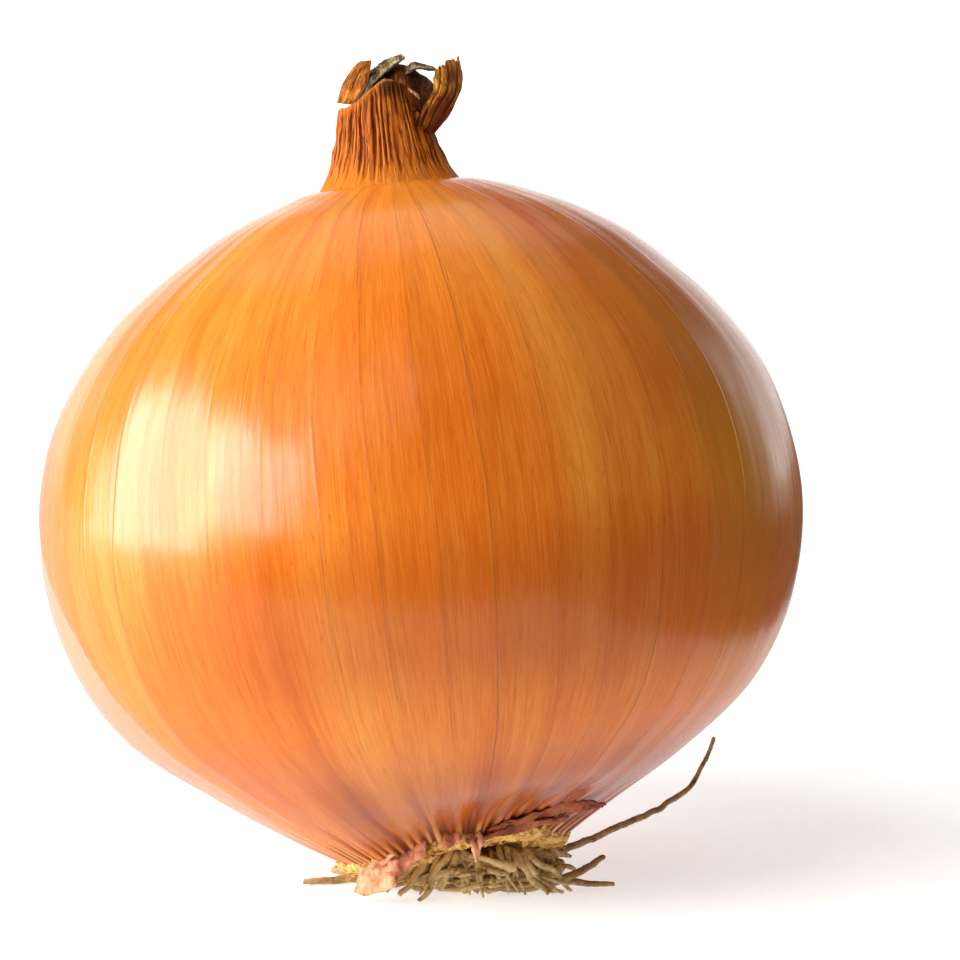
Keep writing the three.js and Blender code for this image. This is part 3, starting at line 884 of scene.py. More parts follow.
@dataclass
class NeckSheath:
    """The dry pleated neck: a tube with a torn lip and a hollow mouth."""

    shape: BulbShape
    finish: Finish
    tree: RibbedSkin
    columns: int = 420
    rows: int = 120
    outer_share: float = 0.72
    lip_thickness: float = 0.3
    thickening: float = 0.8
    mouth_floor: float = 41.5
    floor_middle: float = 41.4
    outline: tuple[tuple[float, float], ...] = (
        (8.1, 34.5), (7.5, 35.3), (6.85, 36.4), (6.3, 37.6), (5.85, 38.9), (5.45, 40.4), (5.1, 42.0),
        (4.75, 43.5), (4.45, 45.0), (4.3, 46.5),
    )
    lip: tuple[tuple[float, float], ...] = (
        (0, 43.2), (60, 42.9), (120, 43.0), (180, 43.6), (215, 43.9), (231, 44.2), (247, 44.8), (261, 45.6),
        (275, 46.15), (289, 46.15), (307, 45.7), (323, 45.2), (339, 44.3), (350, 43.6), (360, 43.2),
    )

    def build(self) -> bpy.types.Object:
        """Builds the outer wall, the lip and the inner wall down to a closed floor.

        Returns:
            The finished piece.
        """
        theta = np.linspace(0, TURN, self.columns, endpoint=False)
        angles, heights = np.array(self.lip).T
        lip = np.interp(np.degrees(theta), angles, heights)
        ring = polar(theta, 5.0, np.zeros_like(theta))
        lip = lip + 0.1 * lumps(ring, 0.9, 3, 2) + 0.08 * lumps(ring, 3.0, 4, 1)
        outline_r, outline_z = smooth_line(self.outline, 200).T
        outer = int(self.rows * self.outer_share)
        inner = self.rows - outer
        up = np.linspace(0, 1, outer)[:, None]
        height = lerp(self.outline[0][1], lip[None, :], up)
        radius = np.interp(height, outline_z, outline_r)
        down = np.linspace(0, 1, inner + 1)[1:, None]
        low = lerp(lip[None, :], self.mouth_floor, down)
        wall = np.interp(low, outline_z, outline_r) - self.lip_thickness - self.thickening * smoothstep(down, 0, 0.3)
        narrow = wall * (1 - smoothstep(down, 0.72, 1.0) * 0.96)
        height = np.concatenate([height, low])
        radius = np.concatenate([radius, np.broadcast_to(narrow, low.shape)])
        turned = np.broadcast_to(theta[None, :], height.shape)
        body = polar(turned, radius, height).reshape(-1, 3)
        crumple = 0.16 * lumps(body, 0.5, 8, 1) * smoothstep(body[:, 2], 35, 38)
        outwards = body[:, :2] / np.maximum(np.hypot(*body[:, :2].T), 1e-6)[:, None]
        body[:, :2] += outwards * crumple[:, None]
        foot = self.outline[0][1]
        ends = np.array([[0, 0, foot], [0, 0, self.floor_middle]])
        points = self.shape.uneven(np.concatenate([ends[:1], body, ends[1:]]))
        around = np.stack([np.cos(turned), np.sin(turned), height / 12], axis=-1).reshape(-1, 3)
        below = lip[None, :] - height
        below[outer:] = -1
        degrees = np.degrees(turned)
        shaded = smoothstep(degrees, 262, 278) * (1 - smoothstep(degrees, 318, 334))
        patchy = below + 0.8 * lumps(body, 1.3, 12, 1).reshape(below.shape)
        shaded = shaded * (1 - smoothstep(patchy, 0.9, 3.0))
        bundle = smoothstep(degrees, 318, 336) * (1 - smoothstep(patchy, 2.5, 8.5)) * 0.75
        shaded = np.maximum(shaded, bundle)
        place = np.stack([shaded, height, below], axis=-1).reshape(-1, 3)
        around = np.concatenate([[[0, 0, 0]], around, [[0, 0, 3.5]]])
        place = np.concatenate([[[0, foot, 9]], place, [[0, self.floor_middle, -1]]])
        still = np.concatenate([[0], 1 - smoothstep(below, 0, 1.1).ravel(), [1]])
        notes = {"around": around, "place": place, "crease": np.ones(len(points)), "still": still}
        piece = to_object("neck_sheath", self.shape.to_part(points), tube_faces(self.rows, self.columns), notes)
        paint = self.finish.make()
        grow(piece, self.tree, ribs=17.0, rib_depth=0.42, ribs_from=34.3, ribs_to=39.0, wander=1.6,
             sharpness=0.5, facet_height=0.8, facet_scale=1.6, seed=6.0, material=paint)
        grow(piece, self.tree, ribs=53.0, rib_depth=0.26, ribs_from=34.6, ribs_to=38.0, wander=2.8,
             sharpness=0.8, facet_height=0.15, facet_scale=9.0, seed=9.0, material=paint)
        finish_modifiers(piece)
        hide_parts("bulb")
        return piece


# Torn leaves and skins

Surface = Callable[[Array, Array], Array]


@dataclass
class TornSheet:
    """A thin closed sheet laid on a surface place(u, v), with ragged edges and crumples."""

    name: str
    place: Surface
    columns: int = 70
    rows: int = 60
    thickness: float = 0.28
    ragged_top: float = 0.2
    ragged_sides: float = 0.06
    crumple: float = 0.2
    crumple_scale: float = 0.5
    pleats: float = 0.0
    pleat_depth: float = 0.15
    painted_shade_foot: float = 0.0
    folds: tuple[float, ...] = ()
    fold_depth: float = 0.25
    edge_waves: float = 9.0
    seed: int = 1

    def build(self, shape: BulbShape) -> bpy.types.Object:
        """Makes the sheet in the bulb's frame and sets it down in the part's frame.

        Args:
            shape: The bulb that the sheet belongs to.

        Returns:
            The sheet, with the attributes around and crease.
        """
        u, v = np.meshgrid(np.linspace(0, 1, self.columns + 1), np.linspace(0, 1, self.rows + 1))
        side = np.stack([u * self.edge_waves, np.zeros_like(u), np.zeros_like(u)], axis=-1).reshape(-1, 3)
        jag = (lumps(side, 0.45, self.seed, 2) + 0.6 * lumps(side, 2.1, self.seed + 1, 1)).reshape(u.shape)
        rise = np.stack([v * self.edge_waves, np.ones_like(u), np.zeros_like(u)], axis=-1).reshape(-1, 3)
        fray = lumps(rise, 0.5, self.seed + 2, 2).reshape(u.shape)
        tall = v * (1 - self.ragged_top * (0.5 + jag))
        wide = 0.5 + (u - 0.5) * (1 - self.ragged_sides * (1 + 2 * fray))
        middle = self.place(wide, tall)
        flat = middle.reshape(-1, 3)
        normal = self.normals(middle)
        waves = np.cos(TURN * self.pleats * wide + 1.5 * np.sin(4 * tall))
        bend = self.crumple * lumps(flat, self.crumple_scale, self.seed + 3, 2).reshape(u.shape)
        off_fold = [wide - at + 0.03 * np.sin(5 * tall) for at in self.folds]
        lines = sum((np.exp(-((off / 0.04) ** 2)) for off in off_fold), np.zeros_like(u))
        pleated = waves * (self.pleats > 0)
        middle = middle + normal * (bend + self.pleat_depth * pleated - self.fold_depth * lines)[..., None]
        normal = self.normals(middle)
        edge = np.minimum(np.minimum(u, 1 - u) * 8, np.minimum(v + 0.3, 1 - v) * 8)
        half = self.thickness / 2 * (0.35 + 0.65 * np.clip(edge, 0, 1))
        sheets = [middle + normal * half[..., None], middle - normal * half[..., None]]
        points = np.concatenate([sheet.reshape(-1, 3) for sheet in sheets])
        # crease paints light and shade on the leaf ends: lighter on pleat crests and bulges, painted shade along the
        # folds, and painted shade at the foot.
        crest = 0.6 + 0.4 * pleated + 0.3 * bend / max(self.crumple, 1e-3)
        crease = np.clip(crest, 0, 1) - 0.7 * lines
        if self.painted_shade_foot > 0:
            lit = smoothstep(v, self.painted_shade_foot - 0.12, self.painted_shade_foot + 0.12)
            crease = crease * (1 - 0.6 * (1 - lit))
        around = np.stack([wide, np.zeros_like(u), tall], axis=-1).reshape(-1, 3)
        notes = {"around": np.concatenate([around, around + 3]), "crease": np.tile(crease.ravel(), 2)}
        return to_object(self.name, shape.to_part(points), self.faces(), notes)

    def lay(self, shape: BulbShape, finish: Finish, node: str, slot: str) -> bpy.types.Object:
        """Builds the sheet in its finish, and hides the node that it replaces."""
        piece = self.build(shape)
        piece.data.materials.append(finish.make())
        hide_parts(node)
        return piece

    def normals(self, grid: Array) -> Array:
        """Unit normals of a grid of points."""
        across = np.gradient(grid, axis=1)
        along = np.gradient(grid, axis=0)
        normal = np.cross(across, along)
        return normal / np.maximum(np.linalg.norm(normal, axis=-1, keepdims=True), 1e-9)

    def faces(self) -> list[tuple[int, ...]]:
        """The front, the back and the rim between them, as one closed shell."""
        wide = self.columns + 1
        count = wide * (self.rows + 1)
        faces: list[tuple[int, ...]] = []
        for r in range(self.rows):
            for c in range(self.columns):
                a, b = r * wide + c, r * wide + c + 1
                faces.append((a, b, b + wide, a + wide))
                faces.append((count + a, count + a + wide, count + b + wide, count + b))
        bottom = list(range(wide))
        right = [r * wide + self.columns for r in range(1, self.rows + 1)]
        top = [self.rows * wide + c for c in range(self.columns - 1, -1, -1)]
        left = [r * wide for r in range(self.rows - 1, 0, -1)]
        rim = bottom + right + top + left
        for a, b in zip(rim, rim[1:] + rim[:1]):
            faces.append((b, a, count + a, count + b))
        return faces


@dataclass
class NeckLeaves:
    """The torn leaf ends at the neck's mouth: left flap, folded cap with curled strips, right leaf."""

    shape: BulbShape
    leaf: Finish
    dark: Finish
    olive: Finish
    pale: Finish
    # bright is a lighter leaf finish, painted light for the upright leaf.
    bright: Finish

    def build(self) -> list[bpy.types.Object]:
        """Builds every leaf end.

        Returns:
            The finished pieces.
        """
        left_curl = [(-0.7, -3.2, 45.9), (0.4, -3.1, 47.1), (1.8, -2.8, 48.0), (3.5, -2.5, 48.7)]
        right_curl = [(3.3, -2.5, 46.9), (4.5, -2.5, 47.5), (5.6, -2.4, 47.3), (6.7, -2.3, 47.0)]
        sheets = [
            (self.left_flap(), self.leaf, "neck_leaf_left"),
            (self.left_band(), self.olive, "neck_leaf_left"),
            (self.cap(), self.dark, "neck_leaf_cap"),
            (self.cap_front(), self.pale, "neck_leaf_cap"),
            (self.ribbon("neck_ribbon_left", left_curl, 1.4, 21), self.olive, "neck_leaf_cap"),
            (self.ribbon("neck_ribbon_right", right_curl, 1.0, 24), self.olive, "neck_leaf_cap"),
            (self.right_leaf(), self.bright, "neck_leaf_right"),
            (self.right_lining(), self.dark, "neck_leaf_right"),
        ]
        return [sheet.lay(self.shape, finish, node, "neck_leaf") for sheet, finish, node in sheets]

    def panel(self, left: Sequence[Point], right: Sequence[Point], bow: float) -> Surface:
        """A leaf end between two edges, each a line of points from its foot to its top."""
        first, last = smooth_line(left, 40), smooth_line(right, 40)
        share = np.linspace(0, 1, 41)

        def place(u: Array, v: Array) -> Array:
            """The point at a share of the width and of the height."""
            low = np.stack([np.interp(v, share, first[:, k]) for k in range(3)], axis=-1)
            high = np.stack([np.interp(v, share, last[:, k]) for k in range(3)], axis=-1)
            spot = low + (high - low) * u[..., None]
            spot[..., 1] -= bow * np.sin(math.pi * u)
            return spot

        return place

    def left_flap(self) -> TornSheet:
        """The broad flat flap that stands at the left."""
        place = self.panel(
            [(-4.2, -0.6, 44.5), (-3.6, -1.7, 45.9), (-2.9, -2.6, 47.0), (-2.1, -3.0, 47.8), (-1.2, -3.2, 48.5)],
            [(-2.2, -3.4, 43.9), (-1.1, -3.8, 45.3), (-0.5, -3.9, 46.4), (-0.2, -3.8, 47.5), (0.0, -3.6, 48.5)],
            0.35,
        )
        return TornSheet("neck_flap_left", place, thickness=0.24, ragged_top=0.02, ragged_sides=0.02, crumple=0.12,
                         crumple_scale=0.6, folds=(0.5,), seed=11)

    def left_band(self) -> TornSheet:
        """The pale band along the flap's right edge."""
        place = self.panel(
            [(-1.7, -3.5, 44.6), (-0.8, -3.7, 45.8), (-0.3, -3.7, 46.9)],
            [(-0.9, -3.9, 44.8), (-0.1, -3.9, 45.7), (0.5, -3.6, 47.0)],
            0.1,
        )
        return TornSheet("neck_flap_band", place, columns=30, thickness=0.2, ragged_top=0.15, crumple=0.12, seed=14)

    def cap(self) -> TornSheet:
        """The dark leaf end that stands behind the lip and folds over the mouth."""
        tops = ((-2.6, 45.2), (-1.2, 46.5), (0, 47.2), (1.1, 47.5), (2.1, 47.6), (3.3, 47.4), (4.5, 46.8),
                (5.6, 46.1), (6.5, 44.8))
        across, heights = np.array(tops).T

        def place(u: Array, v: Array) -> Array:
            """The point at a share of the width and of the height."""
            x = lerp(across[0], across[-1], u)
            top = np.interp(x, across, heights)
            rise = np.sin(v * math.pi * 0.62) / np.sin(math.pi * 0.62)
            back = 3.7 * np.sqrt(np.clip(1 - ((x - 0.9) / 5.6) ** 2, 0.02, 1))
            return np.stack([x, -back + 0.9 * v + 3.2 * v**3, lerp(42.6, top, np.minimum(rise, 1.04))], axis=-1)

        return TornSheet("neck_cap", place, columns=90, rows=70, ragged_top=0.05, ragged_sides=0.03,
                         crumple=0.16, crumple_scale=0.5, pleats=3.0, pleat_depth=0.07, seed=17)

    def cap_front(self) -> TornSheet:
        """The small pale torn edge between the lip and the cap."""
        place = self.panel(
            [(4.6, -2.6, 43.6), (4.2, -3.0, 44.3), (3.6, -3.4, 44.9)],
            [(4.8, -2.4, 43.8), (4.4, -2.8, 44.5), (3.7, -3.2, 45.2)],
            0.1,
        )
        return TornSheet("neck_cap_fold", place, columns=20, rows=50, thickness=0.2, ragged_top=0.2,
                         ragged_sides=0.2, crumple=0.2, crumple_scale=0.9, seed=19)

    def ribbon(self, name: str, line: Sequence[Point], width: float, seed: int) -> TornSheet:
        """A narrow curled strip along a line that runs across the view."""
        path = smooth_line(line, 60)

        def place(u: Array, v: Array) -> Array:
            """The point at a share of the length and of the width."""
            spot = np.stack([np.interp(u, np.linspace(0, 1, 61), path[:, k]) for k in range(3)], axis=-1)
            belly = width * np.sin(math.pi * lerp(0.2, 0.9, u)) ** 0.7
            lean = 0.5 + 0.5 * u
            spot[..., 0] -= (v - 0.5) * belly * 0.45
            spot[..., 1] += (v - 0.5) * belly * lean - 0.3 * belly * (2 * v - 1) ** 2
            spot[..., 2] += (v - 0.5) * belly * 0.85
            return spot

        return TornSheet(name, place, columns=70, rows=18, thickness=0.22, ragged_top=0.1,
                         ragged_sides=0.04, crumple=0.1, crumple_scale=0.9, seed=seed)

    def right_reach(self, u: Array, v: Array) -> Array:
        """Where the right leaf stands: outwards from the neck, then straight up."""
        place = self.panel(
            [(4.2, -3.3, 41.0), (5.0, -3.4, 43.0), (6.0, -3.4, 44.4), (6.35, -3.2, 45.7), (6.5, -3.0, 46.8)],
            [(5.8, -1.0, 40.0), (7.9, -0.6, 42.2), (9.1, -0.3, 44.2), (9.5, -0.1, 46.1), (9.4, 0.0, 48.4)],
            0.8,
        )
        return place(u, v)

    def right_leaf(self) -> TornSheet:
        """The upright leaf at the right."""
        return TornSheet("neck_leaf_upright", self.right_reach, columns=80, rows=90, ragged_top=0.1,
                         ragged_sides=0.05, crumple=0.16, crumple_scale=0.45, folds=(0.22, 0.5, 0.8),
                         painted_shade_foot=0.26, seed=27)

    def right_lining(self) -> TornSheet:
        """The dark inner side of the upright leaf."""

        def place(u: Array, v: Array) -> Array:
            """The point at a share of the width and of the height."""
            points = self.right_reach(0.06 + 0.8 * u, 0.05 + 0.72 * v)
            points[..., 0] -= 0.45
            points[..., 1] -= 0.1
            return points

        return TornSheet("neck_leaf_lining", place, columns=60, rows=60, ragged_top=0.2,
                         ragged_sides=0.1, crumple=0.22, pleats=4.0, pleat_depth=0.12, seed=31)


@dataclass
class RootEndSkins:
    """The torn scraps and the tongue of skin at the root end."""

    shape: BulbShape
    peach: Finish
    pink: Finish
    rust: Finish

    def hanging(self, angle: float, width: float, drop: float, spread: float, lift: float = 0.0) -> Surface:
        """A scrap that hangs from the rim at an angle in degrees."""

        def place(u: Array, v: Array) -> Array:
            """The point at a share of the width and of the drop."""
            theta = np.radians(angle + width * (u - 0.5))
            radius = 12.6 + spread * (1 - v) + 0.35 * np.sin(9 * u)
            height = -36.1 + lift - drop * (1 - v) - 0.3 * np.sin(5 * u)
            return self.shape.uneven(polar(theta, radius, height).reshape(-1, 3)).reshape(*u.shape, 3)

        return place

    def strip(self, line: Sequence[Point], width: Sequence[float], lift: Surface) -> Surface:
        """A strip along a line of angle, radius and height, held off the root cone by a lift in millimetres."""
        path = smooth_line(line, 60)
        share = np.linspace(0, 1, 61)

        def place(u: Array, v: Array) -> Array:
            """The point at a share of the length and of the width."""
            theta, radius, height = (np.interp(u, share, path[:, k]) for k in range(3))
            across = (v - 0.5) * np.interp(u, np.linspace(0, 1, len(width)), width)
            rise = lift(u, v)
            slope_out, slope_up = 0.85, 0.527
            outwards = radius + slope_out * across + slope_up * rise
            upwards = height + slope_up * across - slope_out * rise
            spot = polar(np.radians(theta), outwards, upwards)
            return self.shape.uneven(spot.reshape(-1, 3)).reshape(*u.shape, 3)

        return place

    def build(self) -> list[bpy.types.Object]:
        """Builds every scrap.

        Returns:
            The finished pieces.
        """
        tongue = self.strip(
            [(-74, 13.3, -35.5), (-60, 13.9, -34.9), (-49, 14.7, -34.3), (-41, 15.9, -33.5), (-36, 17.4, -32.7),
             (-34, 18.5, -32.2)],
            (1.2, 2.4, 2.8, 2.2, 2.4, 1.6), lambda u, v: 0.35 + 0.35 * np.sin(8 * u) * v + 1.7 * u**3,
        )
        band = self.strip(
            [(-84, 12.6, -36.1), (-64, 12.9, -35.7), (-46, 13.6, -35.2), (-33, 14.6, -34.6)],
            (0.8, 1.6, 1.8, 1.0), lambda u, v: 0.6 + 0.3 * np.sin(11 * u) * v,
        )
        front, middle = self.hanging(231, 24, 2.8, 1.1), self.hanging(248, 22, 2.3, 1.0, 1.1)
        curl = self.hanging(270, 9, 1.9, 1.1, 1.3)
        chip = self.hanging(281, 5, 1.7, 1.0, 0.2)
        bits = self.hanging(236, 16, 1.1, 1.0, 1.2)
        sheets = [
            ("tongue", tongue, (110, 60), 0.2, 0.3, 0.0, 41, self.rust, "skin_tongue"),
            ("band", band, (90, 30), 0.25, 0.25, 0.0, 44, self.rust, "skin_tongue"),
            ("front", front, (70, 60), 0.15, 0.4, 2.0, 47, self.peach, "skin_scrap_front"),
            ("middle", middle, (70, 60), 0.18, 0.35, 0.0, 50, self.pink, "skin_scrap_middle"),
            ("curl", curl, (40, 40), 0.2, 0.25, 0.0, 53, self.pink, "skin_scrap_middle"),
            ("chip", chip, (30, 30), 0.3, 0.25, 0.0, 59, self.peach, "skin_scrap_middle"),
            ("bits", bits, (60, 24), 0.5, 0.3, 0.0, 56, self.peach, "skin_scrap_front"),
        ]
        pieces = []
        for label, surface, (columns, rows), ragged, crumple, pleats, seed, finish, node in sheets:
            sheet = TornSheet(f"skin_flap_{label}", surface, columns=columns, rows=rows, ragged_top=ragged,
                              crumple=crumple, pleats=pleats, seed=seed)
            pieces.append(sheet.lay(self.shape, finish, node, "torn_skin"))
        return pieces


@dataclass
class CorkPlate:
    """The corky root plate with its folded, ragged rim."""

    shape: BulbShape
    finish: Finish
    tree: CorkFlakes
    rows: int = 70
    columns: int = 240
    outline: tuple[tuple[float, float], ...] = (
        (0, -37.2), (7, -37.2), (10.4, -37.25), (11.8, -36.95), (12.2, -36.3), (11.6, -35.6), (9.5, -35.2),
        (0, -35.1),
    )
    resting_height: float = 0.9
    middle: float = -36.8
    upward_share: float = 0.45

    def build(self) -> bpy.types.Object:
        """Builds the folded body and scatters flakes over its rim.

        Returns:
            The finished piece.
        """
        outline = smooth_line(self.outline, 200)
        radius, height, _ = even_rows(outline, self.rows)
        theta = np.linspace(0, TURN, self.columns, endpoint=False)[None, :]
        theta, radius, height = np.broadcast_arrays(theta, radius, height)
        body = polar(theta, radius, height).reshape(-1, 3)
        rim = smoothstep(np.hypot(*body[:, :2].T), 8, 10.5)
        folds = 1 - 2 * np.abs(lumps(body * (1, 1, 1.6), 0.55, 5, 1))
        fine = lumps(body, 1.6, 6, 2)
        swell = rim * (0.6 * folds + 0.3 * fine)
        outwards = body - np.array([0, 0, self.middle])
        outwards[:, :2] /= np.maximum(np.hypot(*body[:, :2].T), 1e-6)[:, None]
        outwards[:, 2] *= self.upward_share
        body = body + outwards * (swell - 0.2)[:, None]
        poles = [[0, 0, self.outline[0][1]], [0, 0, self.outline[-1][1]]]
        points = np.concatenate([poles[:1], body, poles[1:]])
        points = self.shape.to_part(self.shape.uneven(points))
        points[:, 2] = np.maximum(points[:, 2], self.resting_height)
        flaky = np.concatenate([[0], (rim > 0.6).astype(float), [0]])
        piece = to_object("cork_plate", points, tube_faces(self.rows, self.columns), {"flaky": flaky})
        grow(piece, self.tree, spacing=0.75, density=1.6, flake_size=1.0, raggedness=0.5, seed=4,
             material=self.finish.make())
        finish_modifiers(piece)
        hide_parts("root_plate")
        return piece


@dataclass
class RootTuft:
    """The matted dry roots, and the single roots that stray from them."""

    finish: Finish
    stray_finish: Finish
    tree: RootStrands
    tuft_roots: int = 170
    fine_roots: int = 90
    fan_roots: int = 24
    tuft_reach: float = 9.8
    mat_radius: float = 8.4
    mat_edge: float = 9.6
    mat_step: float = 2.0
    squeeze: float = 0.88
    seed: int = 7
    strays: tuple[tuple[str, float, tuple[Point, ...]], ...] = (
        ("root_long", 0.85, ((6, 3, 1.2), (11.5, 8.5, 1.4), (18.5, 20, 1.9), (23.5, 29, 2.3), (27.2, 33, 4.7),
                             (29.3, 35, 9.0))),
        ("root_left", 1.1, ((-4, 0, 0.7), (-9.5, -1.5, 0.6), (-13, -2.8, 0.5), (-16.2, -2.4, 0.3))),
        ("root_left_fork", 0.6, ((-11.5, -2.3, 0.6), (-14, -3.1, 0.5), (-15.6, -3.4, 0.3))),
        ("root_right", 1.2, ((1.5, -6, 1.4), (6, -8.4, 0.9), (11.5, -5.4, 1.3), (16, -1, 2.6))),
        ("root_right_stub", 0.95, ((7, -2, 1), (12, -3.6, 0.6), (17, -4.2, 0.25))),
        ("root_back_left", 1.0, ((-4, 4, 0.4), (-10.5, 9.5, 0.35), (-15, 15.5, 0.25))),
        ("root_back", 1.0, ((0, 5, 0.4), (1.5, 12, 0.35), (-1, 18.5, 0.25))),
    )

    def build(self) -> list[bpy.types.Object]:
        """Builds the tuft and the stray roots.

        Returns:
            The finished pieces.
        """
        draw = np.random.default_rng(self.seed)
        paths = [self.tuft_root(draw, i) for i in range(self.tuft_roots)]
        paths += [self.mat_root(draw) for _ in range(self.fine_roots)]
        paths += [self.fan_root(draw, i / (self.fan_roots - 1)) for i in range(self.fan_roots)]
        knob = smooth_line([(0.5, -9.6, 4.9), (2.4, -10.7, 4.6), (4.4, -11.0, 4.3), (6.2, -10.9, 3.7)], 20)
        swelling = np.interp(np.linspace(0, 1, 21), [0, 0.5, 0.75, 0.9, 1], [0.5, 0.6, 0.9, 1.35, 0.8])
        paths.append(np.column_stack([knob, swelling]))
        tuft = self.strands("root_tuft", paths, self.finish, 0.55, 0.1)
        pieces = [tuft]
        for name, thickness, points in self.strays:
            line = smooth_line(points, 24)
            taper = lerp(1, 0.5, np.linspace(0, 1, 25) ** 2)
            path = np.column_stack([line, thickness * taper])
            pieces.append(self.strands(name, [path], self.stray_finish, 0.35, 0.12))
        return pieces

    def strands(self, name: str, paths: list[Array], finish: Finish, wobble: float, crinkle: float) -> bpy.types.Object:
        """Turns paths of x, y, z and thickness into one piece of roots."""
        points = np.concatenate(paths)
        faces, start = [], 0
        for path in paths:
            faces += [(start + i, start + i + 1) for i in range(len(path) - 1)]
            start += len(path)
        piece = to_object(name, points[:, :3], faces, {"thickness": points[:, 3]})
        grow(piece, self.tree, wobble=wobble, crinkle=crinkle, material=finish.make())
        finish_modifiers(piece)
        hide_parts("roots")
        return piece

    def tuft_root(self, draw: np.random.Generator, index: int) -> Array:
        """A root that leaves the plate's rim, then droops and curls outside it.

        Args:
            draw: The seeded stream of random numbers.
            index: The root's number, which spreads the roots evenly round.

        Returns:
            Rows of x, y, z and thickness.
        """
        angle = index * math.pi * (3 - math.sqrt(5)) + draw.normal(0, 0.1)
        start, reach = draw.uniform(2, 8), self.tuft_reach + draw.uniform(-1.2, 2.6)
        top = 1.1 + 3.4 * draw.random()
        bend, lift = draw.normal(0, 0.35), draw.uniform(-1, 1)
        radii = [start, lerp(start, reach, 0.55), reach]
        radii += [reach + draw.uniform(-0.9, 1.6), reach + draw.uniform(-2.2, 1.2)]
        turns = [0, 0.25 * bend, 0.7 * bend, 1.3 * bend, 2.2 * bend]
        heights = [top, top + 0.4 * lift, top * 0.75, top * draw.uniform(0.2, 0.7), top * draw.uniform(0.05, 0.9)]
        rows = []
        for radius, turn, height in zip(radii, turns, heights):
            x, y = radius * math.cos(angle + turn), radius * math.sin(angle + turn)
            rows.append((x, y * self.squeeze, max(height + 0.08 * -y, 0.3)))
        line = smooth_line(rows, 16)
        thick = draw.uniform(0.5, 1.05)
        taper = lerp(1, draw.uniform(0.45, 0.8), np.linspace(0, 1, 17))
        return np.column_stack([line, thick * taper])

    def fan_root(self, draw: np.random.Generator, share: float) -> Array:
        """A coarse root of the front, which fans out from under the cork down to the resting surface."""
        lean = draw.uniform(-2.2, 2.2)
        start = lerp(-1.5, 6.5, share) + draw.normal(0, 0.6)
        end = lerp(-7.5, 13.0, share) + lean
        deep = lerp(-12.4, -9.0, share) + draw.uniform(-0.3, 2.4)
        rows = [
            (start, -6.5, 4.8 + draw.uniform(-0.4, 0.4)),
            (lerp(start, end, 0.25), -9.3 + draw.uniform(-0.5, 0.4), 4.1 + draw.uniform(-0.8, 0.6)),
            (lerp(start, end, 0.65), lerp(-9.3, deep, 0.6), 1.9 + draw.uniform(-0.8, 0.9)),
            (end, deep, 0.3 + 1.4 * draw.random() ** 2),
        ]
        line = smooth_line(rows, 18)
        taper = lerp(1, draw.uniform(0.2, 0.6), np.linspace(0, 1, 19) ** 2)
        return np.column_stack([line, draw.uniform(0.45, 1.0) * taper])

    def mat_root(self, draw: np.random.Generator) -> Array:
        """A root of the mat under the plate, which winds close to the resting surface."""
        angle, radius = draw.uniform(0, TURN), draw.uniform(0, self.mat_radius)
        heading, height = draw.uniform(0, TURN), draw.uniform(0.3, 1.6)
        x, y = radius * math.cos(angle), radius * math.sin(angle) * self.squeeze
        rows = []
        for _ in range(6):
            rows.append((x, y, height))
            heading += draw.normal(0, 0.5)
            x, y = x + self.mat_step * math.cos(heading), y + self.mat_step * math.sin(heading)
            out = math.hypot(x, y / self.squeeze) / self.mat_edge
            if out > 1:
                x, y, heading = x / out, y / out, heading + 1.4
            height = min(max(height + draw.normal(0, 0.3), 0.3), 1.8)
        line = smooth_line(rows, 18)
        return np.column_stack([line, np.full(19, draw.uniform(0.5, 0.85))])


# Studio


class LightUse(Enum):
    """What a light does: whether it lights surfaces, and whether glossy ones reflect its face."""

    ALL = (True, True)
    SURFACE = (True, False)
    GLOSS = (False, True)


